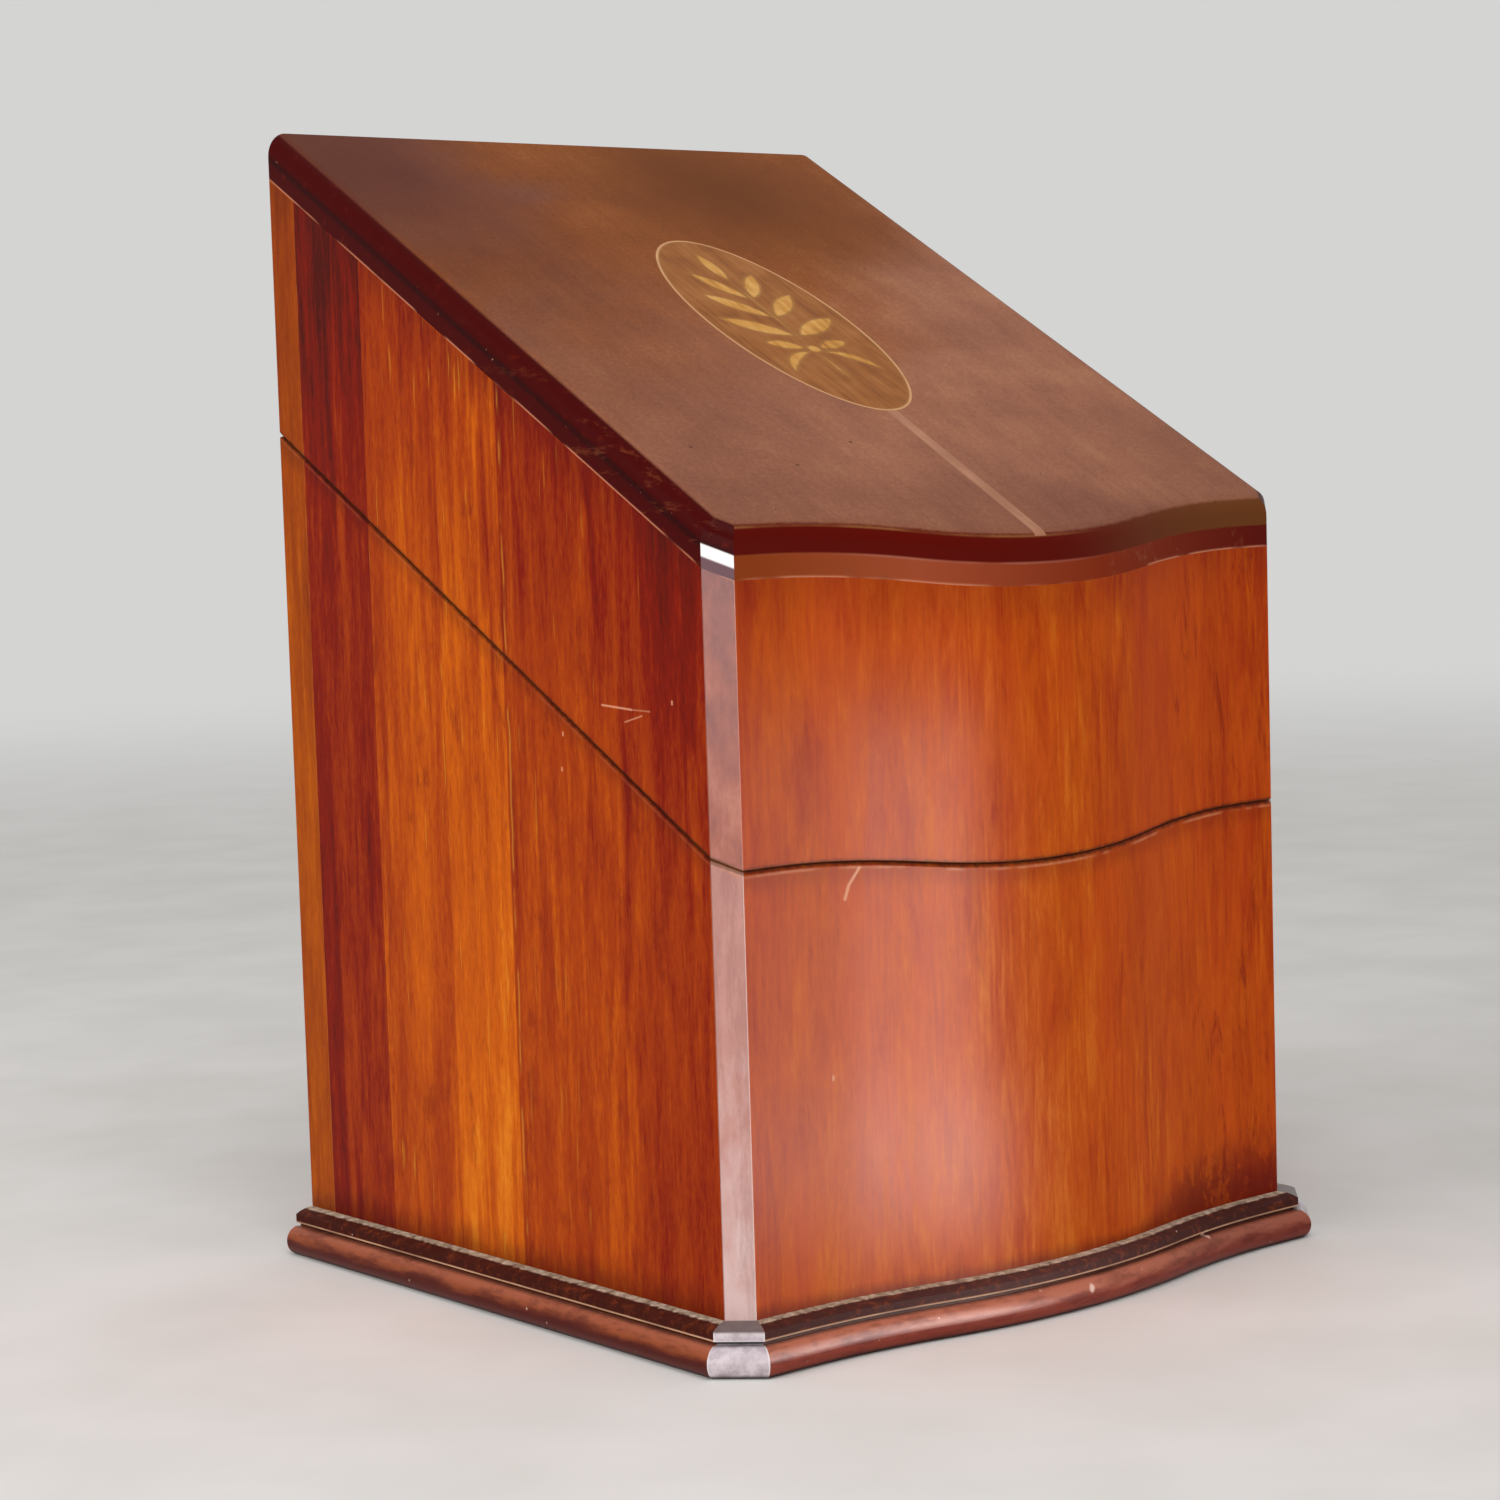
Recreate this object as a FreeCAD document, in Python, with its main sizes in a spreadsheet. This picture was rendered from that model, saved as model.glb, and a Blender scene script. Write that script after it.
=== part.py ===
import FreeCAD, Part
import math
import os
import re

import Sketcher

# Antique knife box: an upright case with a serpentine front and canted front corners, a lid that
# slopes down to the front, and a rack of stepped, slotted tiers inside. +Z is up, the front looks
# along -Y, and the origin is on the table under the middle of the box. All lengths are millimetres.

SIZES = {
    # Outside of the case. Depth is from the plane of the front corners to the back face.
    "body_width": 225.0,
    "body_depth": 210.0,
    "cant_leg": 6.2,
    "front_bulge": 10.9,
    "bulge_inflection_share": 0.48,
    "corner_land": 0.5,
    # Heights are taken at the plane of the front corners. Joint and top rise to the back alike.
    "slope_angle": 30.0,
    "joint_height": 136.0,
    "lid_wall_height": 78.3,
    "top_thickness": 12.4,
    "round_over": 6.5,
    "lid_gap": 0.3,
    "joint_arris": 0.6,
    # Boards
    "side_thickness": 10.0,
    "front_thickness": 10.0,
    "back_thickness": 13.0,
    "bottom_thickness": 8.0,
    # Plinth moulding, from the top down: thumb, fillet, quirk, bullnose
    "plinth_height": 14.0,
    "plinth_projection": 10.0,
    "thumb_height": 1.6,
    "thumb_radius": 12.0,
    "fillet_projection": 6.2,
    "fillet_height": 2.6,
    "quirk_depth": 1.6,
    "quirk_height": 1.2,
    "bullnose_shoulder": 6.6,
    "bullnose_foot": 7.4,
    # Fitted rack
    "tier_thickness": 8.0,
    "riser_thickness": 6.0,
    "cheek_thickness": 8.0,
    "rack_drop": 9.0,
    "slot_margin": 2.6,
    "knife_slot_width": 5.5,
    "fork_slot_width": 8.0,
    "spoon_slot_width": 11.0,
    "slot_end_share": 0.6,
    # Hinges
    "hinge_length": 38.0,
    "hinge_inset": 26.0,
    "leaf_width": 11.0,
    "leaf_thickness": 1.2,
    "knuckle_radius": 2.4,
    "knuckle_share": 0.3,
    "pin_radius": 1.2,
    "pin_clearance": 0.05,
    "pin_setback": 1.0,
    "hinge_clearance": 0.3,
    "lid_opening": 115.0,
    "stop_reach": 2.2,
    "stop_thickness": 0.9,
    "stop_clearance": 0.2,
    "screw_head_radius": 1.9,
    "screw_radius": 1.0,
    "screw_length": 8.0,
    "screw_slot": 0.5,
    "screw_clearance": 0.05,
    # Inlay on the top, measured on the slope
    "inlay_depth": 0.8,
    "oval_length": 112.0,
    "oval_width": 58.0,
    "oval_up_slope": 116.3,
    "oval_line": 0.9,
    "centre_line": 4.4,
    "centre_line_drift": -1.0,
    # Laurel sprig in the oval, in shares of the oval, so that it keeps to its place. Leaves spread
    # from the stem, the lowest the widest and longest.
    "knot_drop_share": 0.152,
    "knot_length_share": 0.043,
    "knot_width_share": 0.045,
    "leaf_offset_share": 0.077,
    "leaf_pitch_share": 0.109,
    "leaf_length_share": 0.223,
    "leaf_taper_share": 0.26,
    "lowest_leaf_angle": 62.0,
    "highest_leaf_angle": 34.0,
    "stem_end_share": 0.134,
    "stem_gap_share": 0.008,
    # One cutting allowance, past every face that a tool goes through
    "overrun": 5.0,
}

TIERS = 5
SLOT_ROWS = {
    1: (4, "spoon"),
    2: (5, "spoon"),
    3: (6, "fork"),
    4: (6, "knife"),
    5: (6, "knife"),
}
SCREWS_PER_LEAF = 2
LEAF_PAIRS = 3

LAYOUT = {
    "half_width": "body_width / 2",
    "inner_half": "half_width - side_thickness",
    "stop_tip": "knuckle_radius + stop_reach",
    "stop_lean": "lid_opening / 2 - slope_angle",
    "rear_reach": "pin_setback + stop_tip * cos(stop_lean) - stop_clearance / 2 * sin(stop_lean)",
    "mitre_slope": "tan(atan(1) / 2)",
    "overall_depth": "body_depth + front_bulge + plinth_projection + rear_reach",
    "front_plane": "front_bulge + plinth_projection - overall_depth / 2",
    "back_plane": "front_plane + body_depth",
    "back_inner": "back_plane - back_thickness",
    "front_inner": "front_plane + front_thickness",
    "cant_back": "front_plane + cant_leg",
    "corner_x": "half_width - cant_leg",
    "curve_end": "corner_x - front_thickness - corner_land",
    "curve_sweep": "(curve_end * curve_end + front_bulge * front_bulge) / (2 * front_bulge)",
    "crown_radius": "bulge_inflection_share * curve_sweep",
    "flank_radius": "(1 - bulge_inflection_share) * curve_sweep",
    "inflection_x": "bulge_inflection_share * curve_end",
    "inflection_y": "front_plane - (1 - bulge_inflection_share) * front_bulge",
    "lean_x": "curve_end / curve_sweep",
    "lean_y": "(curve_sweep - front_bulge) / curve_sweep",
    "gap_rise": "lid_gap / (2 * cos(slope_angle))",
    "top_height": "lid_wall_height + top_thickness / cos(slope_angle)",
    "full_height": "joint_height + top_height + body_depth * tan(slope_angle)",
    "far_front": "front_plane - front_bulge - overrun",
    "far_back": "back_plane + overrun",
    "bay_depth": "(back_inner - front_inner) / %d" % TIERS,
    "bay_rise": "bay_depth * tan(slope_angle)",
    "first_top": "joint_height + front_thickness * tan(slope_angle) - rack_drop",
    "slot_length": "bay_depth - riser_thickness - 2 * slot_margin",
    "pin_y": "back_plane + pin_setback",
    "pin_z": "joint_height + (pin_y - front_plane) * tan(slope_angle)",
    "leaf_start": "knuckle_radius + hinge_clearance",
    "leaf_reach": "leaf_width + pin_setback / cos(slope_angle)",
    "screw_row": "-(leaf_start + leaf_reach) / 2",
    "screw_pitch": "hinge_length / %d" % SCREWS_PER_LEAF,
    "web_start": "(pin_radius + knuckle_radius) / 2",
    "hinge_x": "half_width - hinge_inset - hinge_length / 2",
    "hinge_left": "-hinge_x - hinge_length / 2",
    "knuckle_length": "hinge_length * knuckle_share",
    "oval_y": "front_plane + oval_up_slope * cos(slope_angle)",
    "oval_z": "joint_height + top_height + (oval_y - front_plane) * tan(slope_angle)",
    "sprig_span": "min(oval_length; 2 * oval_width)",
    "knot_drop": "knot_drop_share * sprig_span",
    "knot_length": "knot_length_share * sprig_span",
    "knot_width": "knot_width_share * sprig_span",
    "leaf_offset": "leaf_offset_share * sprig_span",
    "leaf_pitch": "leaf_pitch_share * sprig_span",
    "leaf_length": "leaf_length_share * sprig_span",
    "stem_end": "stem_end_share * sprig_span",
    "stem_gap": "stem_gap_share * sprig_span",
    "line_run": "oval_up_slope - oval_length / 2",
    "line_angle": "atan(centre_line_drift / line_run)",
}

NAMES = set(SIZES) | set(LAYOUT)
TOLERANCE = 1e-4
AXIS_X = FreeCAD.Vector(1, 0, 0)
AXIS_Y = FreeCAD.Vector(0, 1, 0)
AXIS_Z = FreeCAD.Vector(0, 0, 1)
# Sketches that stand up. Their own y runs up, and their own x to the back, the left or the right.
SIDEWAYS = FreeCAD.Rotation(FreeCAD.Vector(1, 1, 1), 120)
FACING_BACK = FreeCAD.Rotation(FreeCAD.Vector(0, 1, 1), 180)
FACING_FRONT = FreeCAD.Rotation(AXIS_X, 90)

doc = FreeCAD.newDocument("knife_box")
sheet = doc.addObject("Spreadsheet::Sheet", "Sizes")
nodes = []


def fill_sheet():
    """Write the driving sizes as numbers, then the worked-out ones as formulas."""
    entries = [(name, str(value)) for name, value in SIZES.items()]
    entries += [(name, "=" + formula) for name, formula in LAYOUT.items()]
    for row, (name, content) in enumerate(entries, start=1):
        sheet.set("A%d" % row, name)
        sheet.set("B%d" % row, content)
        sheet.setAlias("B%d" % row, name)
    doc.recompute()


def sized(formula):
    """Put the sheet's name before each size that a formula uses."""

    def named(word):
        return "Sizes." + word.group() if word.group() in NAMES else word.group()

    return re.sub(r"[a-z][a-z_]*", named, formula)


def number(formula):
    """The value of a formula, as a plain number."""
    found = doc.Sizes.evalExpression(sized(formula))
    return float(getattr(found, "Value", found))


def bind(thing, formulas):
    """Tie properties of an object to formulas of the named sizes."""
    for path, formula in formulas.items():
        thing.setExpression(path, sized(formula))


def keep(thing, label):
    """Name a finished sub-part."""
    thing.Label = label
    nodes.append(thing)
    return thing


def height_at(y, base="joint_height"):
    """Formula for the height, at depth y, of a plane that rises to the back from base."""
    return "(%s + (%s - front_plane) * tan(slope_angle))" % (base, y)


def arc_through(start, end, radius, side):
    """Arc from start to end, bowed to the left of that way where side is 1 and right where it is -1."""
    chord = end - start
    across = FreeCAD.Vector(-chord.y, chord.x, 0).normalize()
    sagitta = radius - math.sqrt(radius * radius - chord.Length * chord.Length / 4)
    return Part.Arc(start, (start + end) / 2 + across * sagitta * side, end)


def outline(name, chains, turned=None, closed=True):
    """Sketch of chains of sides. A chain is a list of corners (x, y), and a corner whose next side is
    an arc is (x, y, radius, side). Every place and radius is a formula."""
    sketch = doc.addObject("Sketcher::SketchObject", name)
    if turned:
        sketch.Placement = FreeCAD.Placement(FreeCAD.Vector(), turned)
    for corners in chains:
        places = [FreeCAD.Vector(number(corner[0]), number(corner[1]), 0) for corner in corners]
        sides = len(corners) if closed else len(corners) - 1
        first = sketch.GeometryCount
        ends = []
        for i in range(sides):
            start, end = places[i], places[(i + 1) % len(corners)]
            if len(corners[i]) == 4:
                side = arc_through(start, end, number(corners[i][2]), corners[i][3])
            else:
                side = Part.LineSegment(start, end)
            index = sketch.addGeometry(side)
            forward = sketch.getPoint(index, 1).distanceToPoint(start) < TOLERANCE
            ends.append((1, 2) if forward else (2, 1))
            if len(corners[i]) == 4:
                tie(sketch, "Radius", (index,), corners[i][2])
        for i, corner in enumerate(corners):
            last = i == sides
            side, end = (first + i - 1, ends[i - 1][1]) if last else (first + i, ends[i][0])
            tie(sketch, "DistanceX", (side, end), corner[0])
            tie(sketch, "DistanceY", (side, end), corner[1])
            if i or closed:
                before = (i - 1) % sides
                if not last:
                    meeting = (first + before, ends[before][1], first + i, ends[i][0])
                    sketch.addConstraint(Sketcher.Constraint("Coincident", *meeting))
    return sketch


def tie(sketch, kind, where, formula):
    """Dimension of a sketch, held to a formula."""
    index = sketch.addConstraint(Sketcher.Constraint(kind, *where, number(formula)))
    bind(sketch, {"Constraints[%d]" % index: formula})


def extrusion(name, sketch, forward, backward="0"):
    """Solid between two distances from a sketch, along its normal."""
    solid = doc.addObject("Part::Extrusion", name)
    solid.Base = sketch
    solid.DirMode = "Normal"
    solid.Solid = True
    bind(solid, {"LengthFwd": forward, "LengthRev": backward})
    return solid


def pair(kind, name, base, tool):
    """Cut or Common of two solids."""
    result = doc.addObject("Part::" + kind, name)
    result.Base = base
    result.Tool = tool
    return result


def fused(name, parts):
    """One solid made of several."""
    result = doc.addObject("Part::MultiFuse", name)
    result.Shapes = parts
    return result


def grouped(name, things):
    """Several solids as one object, each still apart."""
    result = doc.addObject("Part::Compound", name)
    result.Links = things
    return result


def mirrored(source, name):
    """The same piece on the other side of the box."""
    result = doc.addObject("Part::Mirroring", name)
    result.Source = source
    result.Normal = AXIS_X
    return result


def both_sides(name, thing):
    """A piece and its mirror image."""
    return grouped(name, [thing, mirrored(thing, name + "_mirrored")])


def block(name, corner, lengths):
    """Box from a corner (x, y, z) with its three lengths."""
    solid = doc.addObject("Part::Box", name)
    bind(solid, dict(zip(("Length", "Width", "Height"), lengths)))
    bind(solid, dict(zip(("Placement.Base.x", "Placement.Base.y", "Placement.Base.z"), corner)))
    return solid


def rod(name, start, length, radius):
    """Round bar along X on the hinge line."""
    solid = doc.addObject("Part::Cylinder", name)
    solid.Placement.Rotation = FreeCAD.Rotation(AXIS_Y, 90)
    bind(solid, {"Radius": radius, "Height": length, "Placement.Base.x": start})
    return solid


def on_slope(thing, x, y, z):
    """Lay an object that was drawn flat onto the slope, with its own origin at (x, y, z)."""
    thing.Placement.Rotation = FreeCAD.Rotation(AXIS_X, 1)
    bind(
        thing,
        {
            "Placement.Base.x": x,
            "Placement.Base.y": y,
            "Placement.Base.z": z,
            "Placement.Rotation.Angle": "slope_angle",
        },
    )
    return thing


def front_curve(way, inset=None):
    """Corners of the serpentine front from one land to the other. way is 1 from left to right and -1
    back again, and inset is the wall inside which the curve runs, or None for the outer face."""
    depth = inset or "0"
    plane = "front_plane + " + depth
    turn_x = "(inflection_x - %s * lean_x)" % depth
    turn_y = "inflection_y + %s * lean_y" % depth
    flank = "flank_radius + " + depth
    crown = "crown_radius - " + depth
    near, far = ("-", "") if way == 1 else ("", "-")
    return [
        (near + "curve_end", plane, flank, way),
        (near + turn_x, turn_y, crown, -way),
        (far + turn_x, turn_y, flank, way),
        (far + "curve_end", plane),
    ]


def case_outline():
    """Plan of the whole case, outside."""
    corners = [("-half_width", "back_plane"), ("-half_width", "cant_back"), ("-corner_x", "front_plane")]
    corners += front_curve(1)
    corners += [("corner_x", "front_plane"), ("half_width", "cant_back"), ("half_width", "back_plane")]
    return outline("case_plan", [corners])


def wall_plans():
    """Plan of each wall. The case is made as one closed box and is then sawn apart at the joint."""
    left = [
        ("-half_width", "back_inner"),
        ("-half_width", "cant_back"),
        ("-inner_half", "cant_back + side_thickness"),
        ("-inner_half", "back_inner"),
    ]
    strip = [
        ("-half_width", "cant_back"),
        ("-corner_x", "front_plane"),
        ("-corner_x + front_thickness", "front_inner"),
        ("-inner_half", "cant_back + side_thickness"),
    ]
    front = [("-corner_x", "front_plane")] + front_curve(1)
    front += [("corner_x", "front_plane"), ("corner_x - front_thickness", "front_inner")]
    front += front_curve(-1, "front_thickness") + [("front_thickness - corner_x", "front_inner")]
    back = [
        ("-half_width", "back_inner"),
        ("half_width", "back_inner"),
        ("half_width", "back_plane"),
        ("-half_width", "back_plane"),
    ]
    plans = {"side": left, "corner": strip, "front": front, "back": back}
    return {
        name: extrusion(name + "_wall", outline(name + "_plan", [corners]), "full_height + overrun")
        for name, corners in plans.items()
    }


def zone(name, low, high):
    """Slice of space, right across the box, between two profiles that run from front to back."""
    corners = [
        ("far_front", low("far_front")),
        ("far_back", low("far_back")),
        ("far_back", high("far_back")),
        ("far_front", high("far_front")),
    ]
    reach = "half_width + plinth_projection + overrun"
    return extrusion(name, outline(name + "_profile", [corners], SIDEWAYS), reach, reach)


def eased(kind, name, solid, wanted, amount):
    """Chamfer or Fillet of the edges that a test picks out."""
    doc.recompute()
    size = number(amount)
    result = doc.addObject("Part::" + kind, name)
    result.Base = solid
    result.Edges = [(i, size, size) for i, edge in enumerate(solid.Shape.Edges, start=1) if wanted(edge)]
    return result


def edge_places(edge):
    """Both ends and the middle of an edge."""
    middle = edge.valueAt((edge.FirstParameter + edge.LastParameter) / 2)
    return [edge.Vertexes[0].Point, middle, edge.Vertexes[-1].Point]


def lies_on(places, base):
    """Whether places lie on the plane that rises to the back from a height."""
    start, rise, front = number(base), number("tan(slope_angle)"), number("front_plane")
    return all(abs(place.z - start - (place.y - front) * rise) < TOLERANCE for place in places)


def outer_joint_edge(plan, base):
    """Test for the outer edges of the sloping joint face at a height."""

    def test(edge):
        places = edge_places(edge)
        flat = Part.Vertex(places[1].x, places[1].y, 0)
        return lies_on(places, base) and plan.Shape.distToShape(flat)[0] < TOLERANCE

    return test


def make_walls(plan):
    """Carcass and lid walls, sawn apart on the slope, with the outer arrises of the joint taken off."""
    below, above = "joint_height - gap_rise", "joint_height + gap_rise"
    under_top = "joint_height + lid_wall_height"
    carcass_zone = zone("carcass_zone", lambda y: "bottom_thickness", lambda y: height_at(y, below))
    lid_zone = zone("lid_zone", lambda y: height_at(y, above), lambda y: height_at(y, under_top))
    walls = {}
    for part, wall in wall_plans().items():
        for body, space, joint in (("carcass", carcass_zone, below), ("lid", lid_zone, above)):
            name = body + "_" + part
            sawn = pair("Common", name + "_sawn", wall, space)
            arris = outer_joint_edge(plan, joint)
            walls[name] = eased("Chamfer", name + "_wall", sawn, arris, "joint_arris")
    return walls


def make_top(plan):
    """Top of the lid: a board on the slope, rounded over on its front, canted and side edges."""
    low, high = "joint_height + lid_wall_height", "joint_height + top_height"
    whole = extrusion("top_column", plan, "full_height + overrun")
    sheet_zone = zone("top_zone", lambda y: height_at(y, low), lambda y: height_at(y, high))
    board = pair("Common", "top_board", whole, sheet_zone)
    rear = number("back_plane")

    def moulded(edge):
        places = edge_places(edge)
        return lies_on(places, high) and abs(places[1].y - rear) > TOLERANCE

    return eased("Fillet", "rounded_top", board, moulded, "round_over")


def ellipse_disc(name, trim):
    """Oval disc, sunk into the top by the inlay's depth, smaller all round than the inlay by trim."""
    rim = doc.addObject("Part::Ellipse", name + "_rim")
    bind(rim, {"MajorRadius": "oval_length / 2 - " + trim, "MinorRadius": "oval_width / 2 - " + trim})
    rim.Placement.Rotation = FreeCAD.Rotation(AXIS_Z, 90)
    disc = extrusion(name, rim, "0", "inlay_depth")
    disc.DirMode = "Custom"
    disc.Dir = AXIS_Z
    return disc


# A blade is a sliver between two arcs that meet at its foot and its tip. Feet and tips here are
# shares of the oval's half width and half length, for the right-hand side, and then come the bows of
# the blade's left and right edges, as shares of its length.
RIBBON_BLADE_SHARES = {
    "loop": (0.10, -0.295, 0.57, -0.225, 0.22, 0.17),
    "tail": (0.09, -0.335, 0.62, -0.56, 0.24, -0.04),
}
LEAF_BOW_SHARE = 0.145
STEM_BOW_SHARE = 0.014
STEM_END_BOW_SHARE = 0.045


def blade(foot, tip, length, left_share, right_share):
    """Chain for one blade, from foot to tip by its left edge and back by its right."""
    corners = []
    for place, share in ((foot, left_share), (tip, right_share)):
        roundness = (1 / 4 + share * share) / (2 * abs(share))
        corners.append((*place, "(%s) * %.6f" % (length, roundness), 1 if share > 0 else -1))
    return corners


def leaf_foot(k):
    """Height on the sprig at which leaf k starts, the lowest first."""
    return "(leaf_offset - knot_drop + %d * leaf_pitch)" % k


def leaf_blades():
    """Stem, pairs of leaves up it, one leaf at its top and the stem's cut end below the knot."""
    shorter = "leaf_length * (1 - leaf_taper_share * %d / %d)"
    lengths = [shorter % (k, LEAF_PAIRS) for k in range(LEAF_PAIRS + 1)]
    chains = []
    for k in range(LEAF_PAIRS):
        spread = "(lowest_leaf_angle - highest_leaf_angle) * %d / %d" % (k, LEAF_PAIRS - 1)
        way = "(lowest_leaf_angle - %s)" % spread
        up = "%s + %s * cos(%s)" % (leaf_foot(k), lengths[k], way)
        for side in ("", "-"):
            foot = (side + "stem_gap", leaf_foot(k))
            tip = ("%s(stem_gap + %s * sin(%s))" % (side, lengths[k], way), up)
            chains.append(blade(foot, tip, lengths[k], LEAF_BOW_SHARE, LEAF_BOW_SHARE))
    top_foot = leaf_foot(LEAF_PAIRS)
    top_tip = "%s + %s" % (top_foot, lengths[-1])
    chains.append(blade(("0", top_foot), ("0", top_tip), lengths[-1], LEAF_BOW_SHARE, LEAF_BOW_SHARE))
    stem_foot, stem_tip = "knot_length / 2 - knot_drop + stem_gap", top_foot + " - stem_gap"
    stem_length = "%s - (%s)" % (stem_tip, stem_foot)
    chains.append(blade(("0", stem_foot), ("0", stem_tip), stem_length, STEM_BOW_SHARE, STEM_BOW_SHARE))
    under_knot = "-knot_drop - knot_length / 2 - stem_gap"
    end_tip = ("0", under_knot + " - stem_end")
    chains.append(blade(("0", under_knot), end_tip, "stem_end", STEM_END_BOW_SHARE, STEM_END_BOW_SHARE))
    return chains


def ribbon_blades():
    """Loops and tails of the bow."""
    chains = []
    for x, y, tip_x, tip_y, left, right in RIBBON_BLADE_SHARES.values():
        for side in (1, -1):
            foot = ("%.4f * oval_width" % (side * x / 2), "%.4f * oval_length" % (y / 2))
            tip = ("%.4f * oval_width" % (side * tip_x / 2), "%.4f * oval_length" % (tip_y / 2))
            run = ["(%s - (%s))" % (tip[axis], foot[axis]) for axis in (0, 1)]
            length = "sqrt(%s * %s + %s * %s)" % (run[0], run[0], run[1], run[1])
            edges = (left, right) if side == 1 else (right, left)
            chains.append(blade(foot, tip, length, *edges))
    return chains


def inlaid(name, sketch):
    """Inlay of a flat outline, sunk into the top at the middle of the oval."""
    return on_slope(extrusion(name, sketch, "0", "inlay_depth"), "0", "oval_y", "oval_z")


def oval(name, trim):
    """Oval disc, smaller all round than the inlay by trim."""
    rim = doc.addObject("Part::Ellipse", name + "_rim")
    bind(rim, {"MajorRadius": "oval_length / 2 - " + trim, "MinorRadius": "oval_width / 2 - " + trim})
    rim.Placement.Rotation = FreeCAD.Rotation(AXIS_Z, 90)
    return inlaid(name, rim)


def make_centre_line():
    """Bar from the foot of the oval past the front edge, leaning as far as the line drifts."""
    length = "line_run + front_bulge + overrun"
    place = ("-centre_line / 2", "-(%s)" % length, "-inlay_depth")
    bar = block("line_bar", place, ("centre_line", length, "2 * inlay_depth"))
    swung = grouped("line_swung", [bar])
    swung.Placement.Rotation = FreeCAD.Rotation(AXIS_Z, 1)
    bind(swung, {"Placement.Base.y": "-oval_length / 2", "Placement.Rotation.Angle": "line_angle"})
    return on_slope(grouped("line_laid", [swung]), "0", "oval_y", "oval_z")


def make_inlays(board):
    """Oval panel, its sprig and ribbon, the line round it and the line down to the front edge."""
    rim = doc.addObject("Part::Ellipse", "knot_rim")
    bind(rim, {"MajorRadius": "knot_width / 2", "MinorRadius": "knot_length / 2"})
    bind(rim, {"Placement.Base.y": "-knot_drop"})
    sprig = inlaid("sprig", outline("sprig_plan", leaf_blades()))
    ribbons = inlaid("bow_ribbons", outline("bow_plan", ribbon_blades()))
    bow = grouped("bow", [ribbons, inlaid("bow_knot", rim)])
    pocket = oval("oval_pocket", "0")
    field = oval("oval_field", "oval_line")
    line = make_centre_line()
    strip = pair("Cut", "line_strip", pair("Common", "line_trimmed", board, line), pocket)
    top = pair("Cut", "inlaid_top", board, fused("inlay_pockets", [pocket, line]))

    keep(top, "lid_top")
    keep(pair("Cut", "oval_ground", field, fused("motif", [sprig, bow])), "oval_panel")
    keep(pair("Cut", "oval_ring", pocket, field), "oval_stringing")
    keep(sprig, "laurel_sprig")
    keep(bow, "ribbon_bow")
    keep(strip, "centre_stringing")


def plinth_profile():
    """Section of the moulding: x is how far it stands out from the case, y is its height."""
    thumb_foot = "plinth_height - thumb_height"
    fillet_foot = thumb_foot + " - fillet_height"
    shoulder = fillet_foot + " - quirk_height"
    quirk = "fillet_projection - quirk_depth"
    nose = "(%s) / 2" % shoulder

    def bow(depth):
        return "((%s) * (%s) + (%s) * (%s)) / (2 * (%s))" % (nose, nose, depth, depth, depth)

    return [
        ("0", "0"),
        ("0", "plinth_height", "thumb_radius", 1),
        ("fillet_projection", thumb_foot),
        ("fillet_projection", fillet_foot),
        (quirk, fillet_foot),
        (quirk, shoulder),
        ("bullnose_shoulder", shoulder, bow("plinth_projection - bullnose_shoulder"), 1),
        ("plinth_projection", nose, bow("plinth_projection - bullnose_foot"), 1),
        ("bullnose_foot", "0"),
    ]


def make_plinth():
    """Moulding run round the sides, canted corners and front, then cut apart at its mitres."""
    path = [("-half_width", "back_plane"), ("-half_width", "cant_back"), ("-corner_x", "front_plane")]
    path += front_curve(1)
    path += [("corner_x", "front_plane"), ("half_width", "cant_back"), ("half_width", "back_plane")]
    run = doc.addObject("Part::Sweep", "plinth_run")
    section = outline("plinth_section", [plinth_profile()], FACING_BACK)
    bind(section, {"Placement.Base.x": "-half_width", "Placement.Base.y": "back_plane"})
    route = outline("plinth_path", [path], closed=False)
    run.Sections = [section]
    run.Spine = (route, ["Edge%d" % side for side in range(1, len(path))])
    run.Solid = True
    run.Transition = "Right corner"

    out = "(plinth_projection + front_bulge + overrun)"
    side_mitre = ("-half_width - " + out, "cant_back - mitre_slope * " + out)
    front_mitre = ("-corner_x - mitre_slope * " + out, "front_plane - " + out)
    other_mitre = ("corner_x + mitre_slope * " + out, "front_plane - " + out)
    side_start, side_end = ("-half_width", "back_plane"), ("-half_width", "cant_back")
    front_start, front_end = ("-corner_x", "front_plane"), ("corner_x", "front_plane")
    sectors = {
        "plinth_left": [side_start, side_end, side_mitre, (side_mitre[0], "back_plane")],
        "plinth_corner_left": [side_end, front_start, front_mitre, side_mitre],
        "plinth_front": [front_start, front_end, other_mitre, front_mitre],
    }
    for label, corners in sectors.items():
        sector = extrusion(label + "_sector", outline(label + "_plan", [corners]), "plinth_height")
        piece = keep(pair("Common", label + "_cut", run, sector), label)
        if label.endswith("_left"):
            keep(mirrored(piece, label + "_mirrored"), label.replace("_left", "_right"))


def bay_line(i):
    """Depth at which bay i starts, the first at the front."""
    return "(front_inner + %d * bay_depth)" % (i - 1)


def tier_top(i):
    """Height of the top of tier i."""
    return "(first_top + %d * bay_rise)" % (i - 1)


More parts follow.
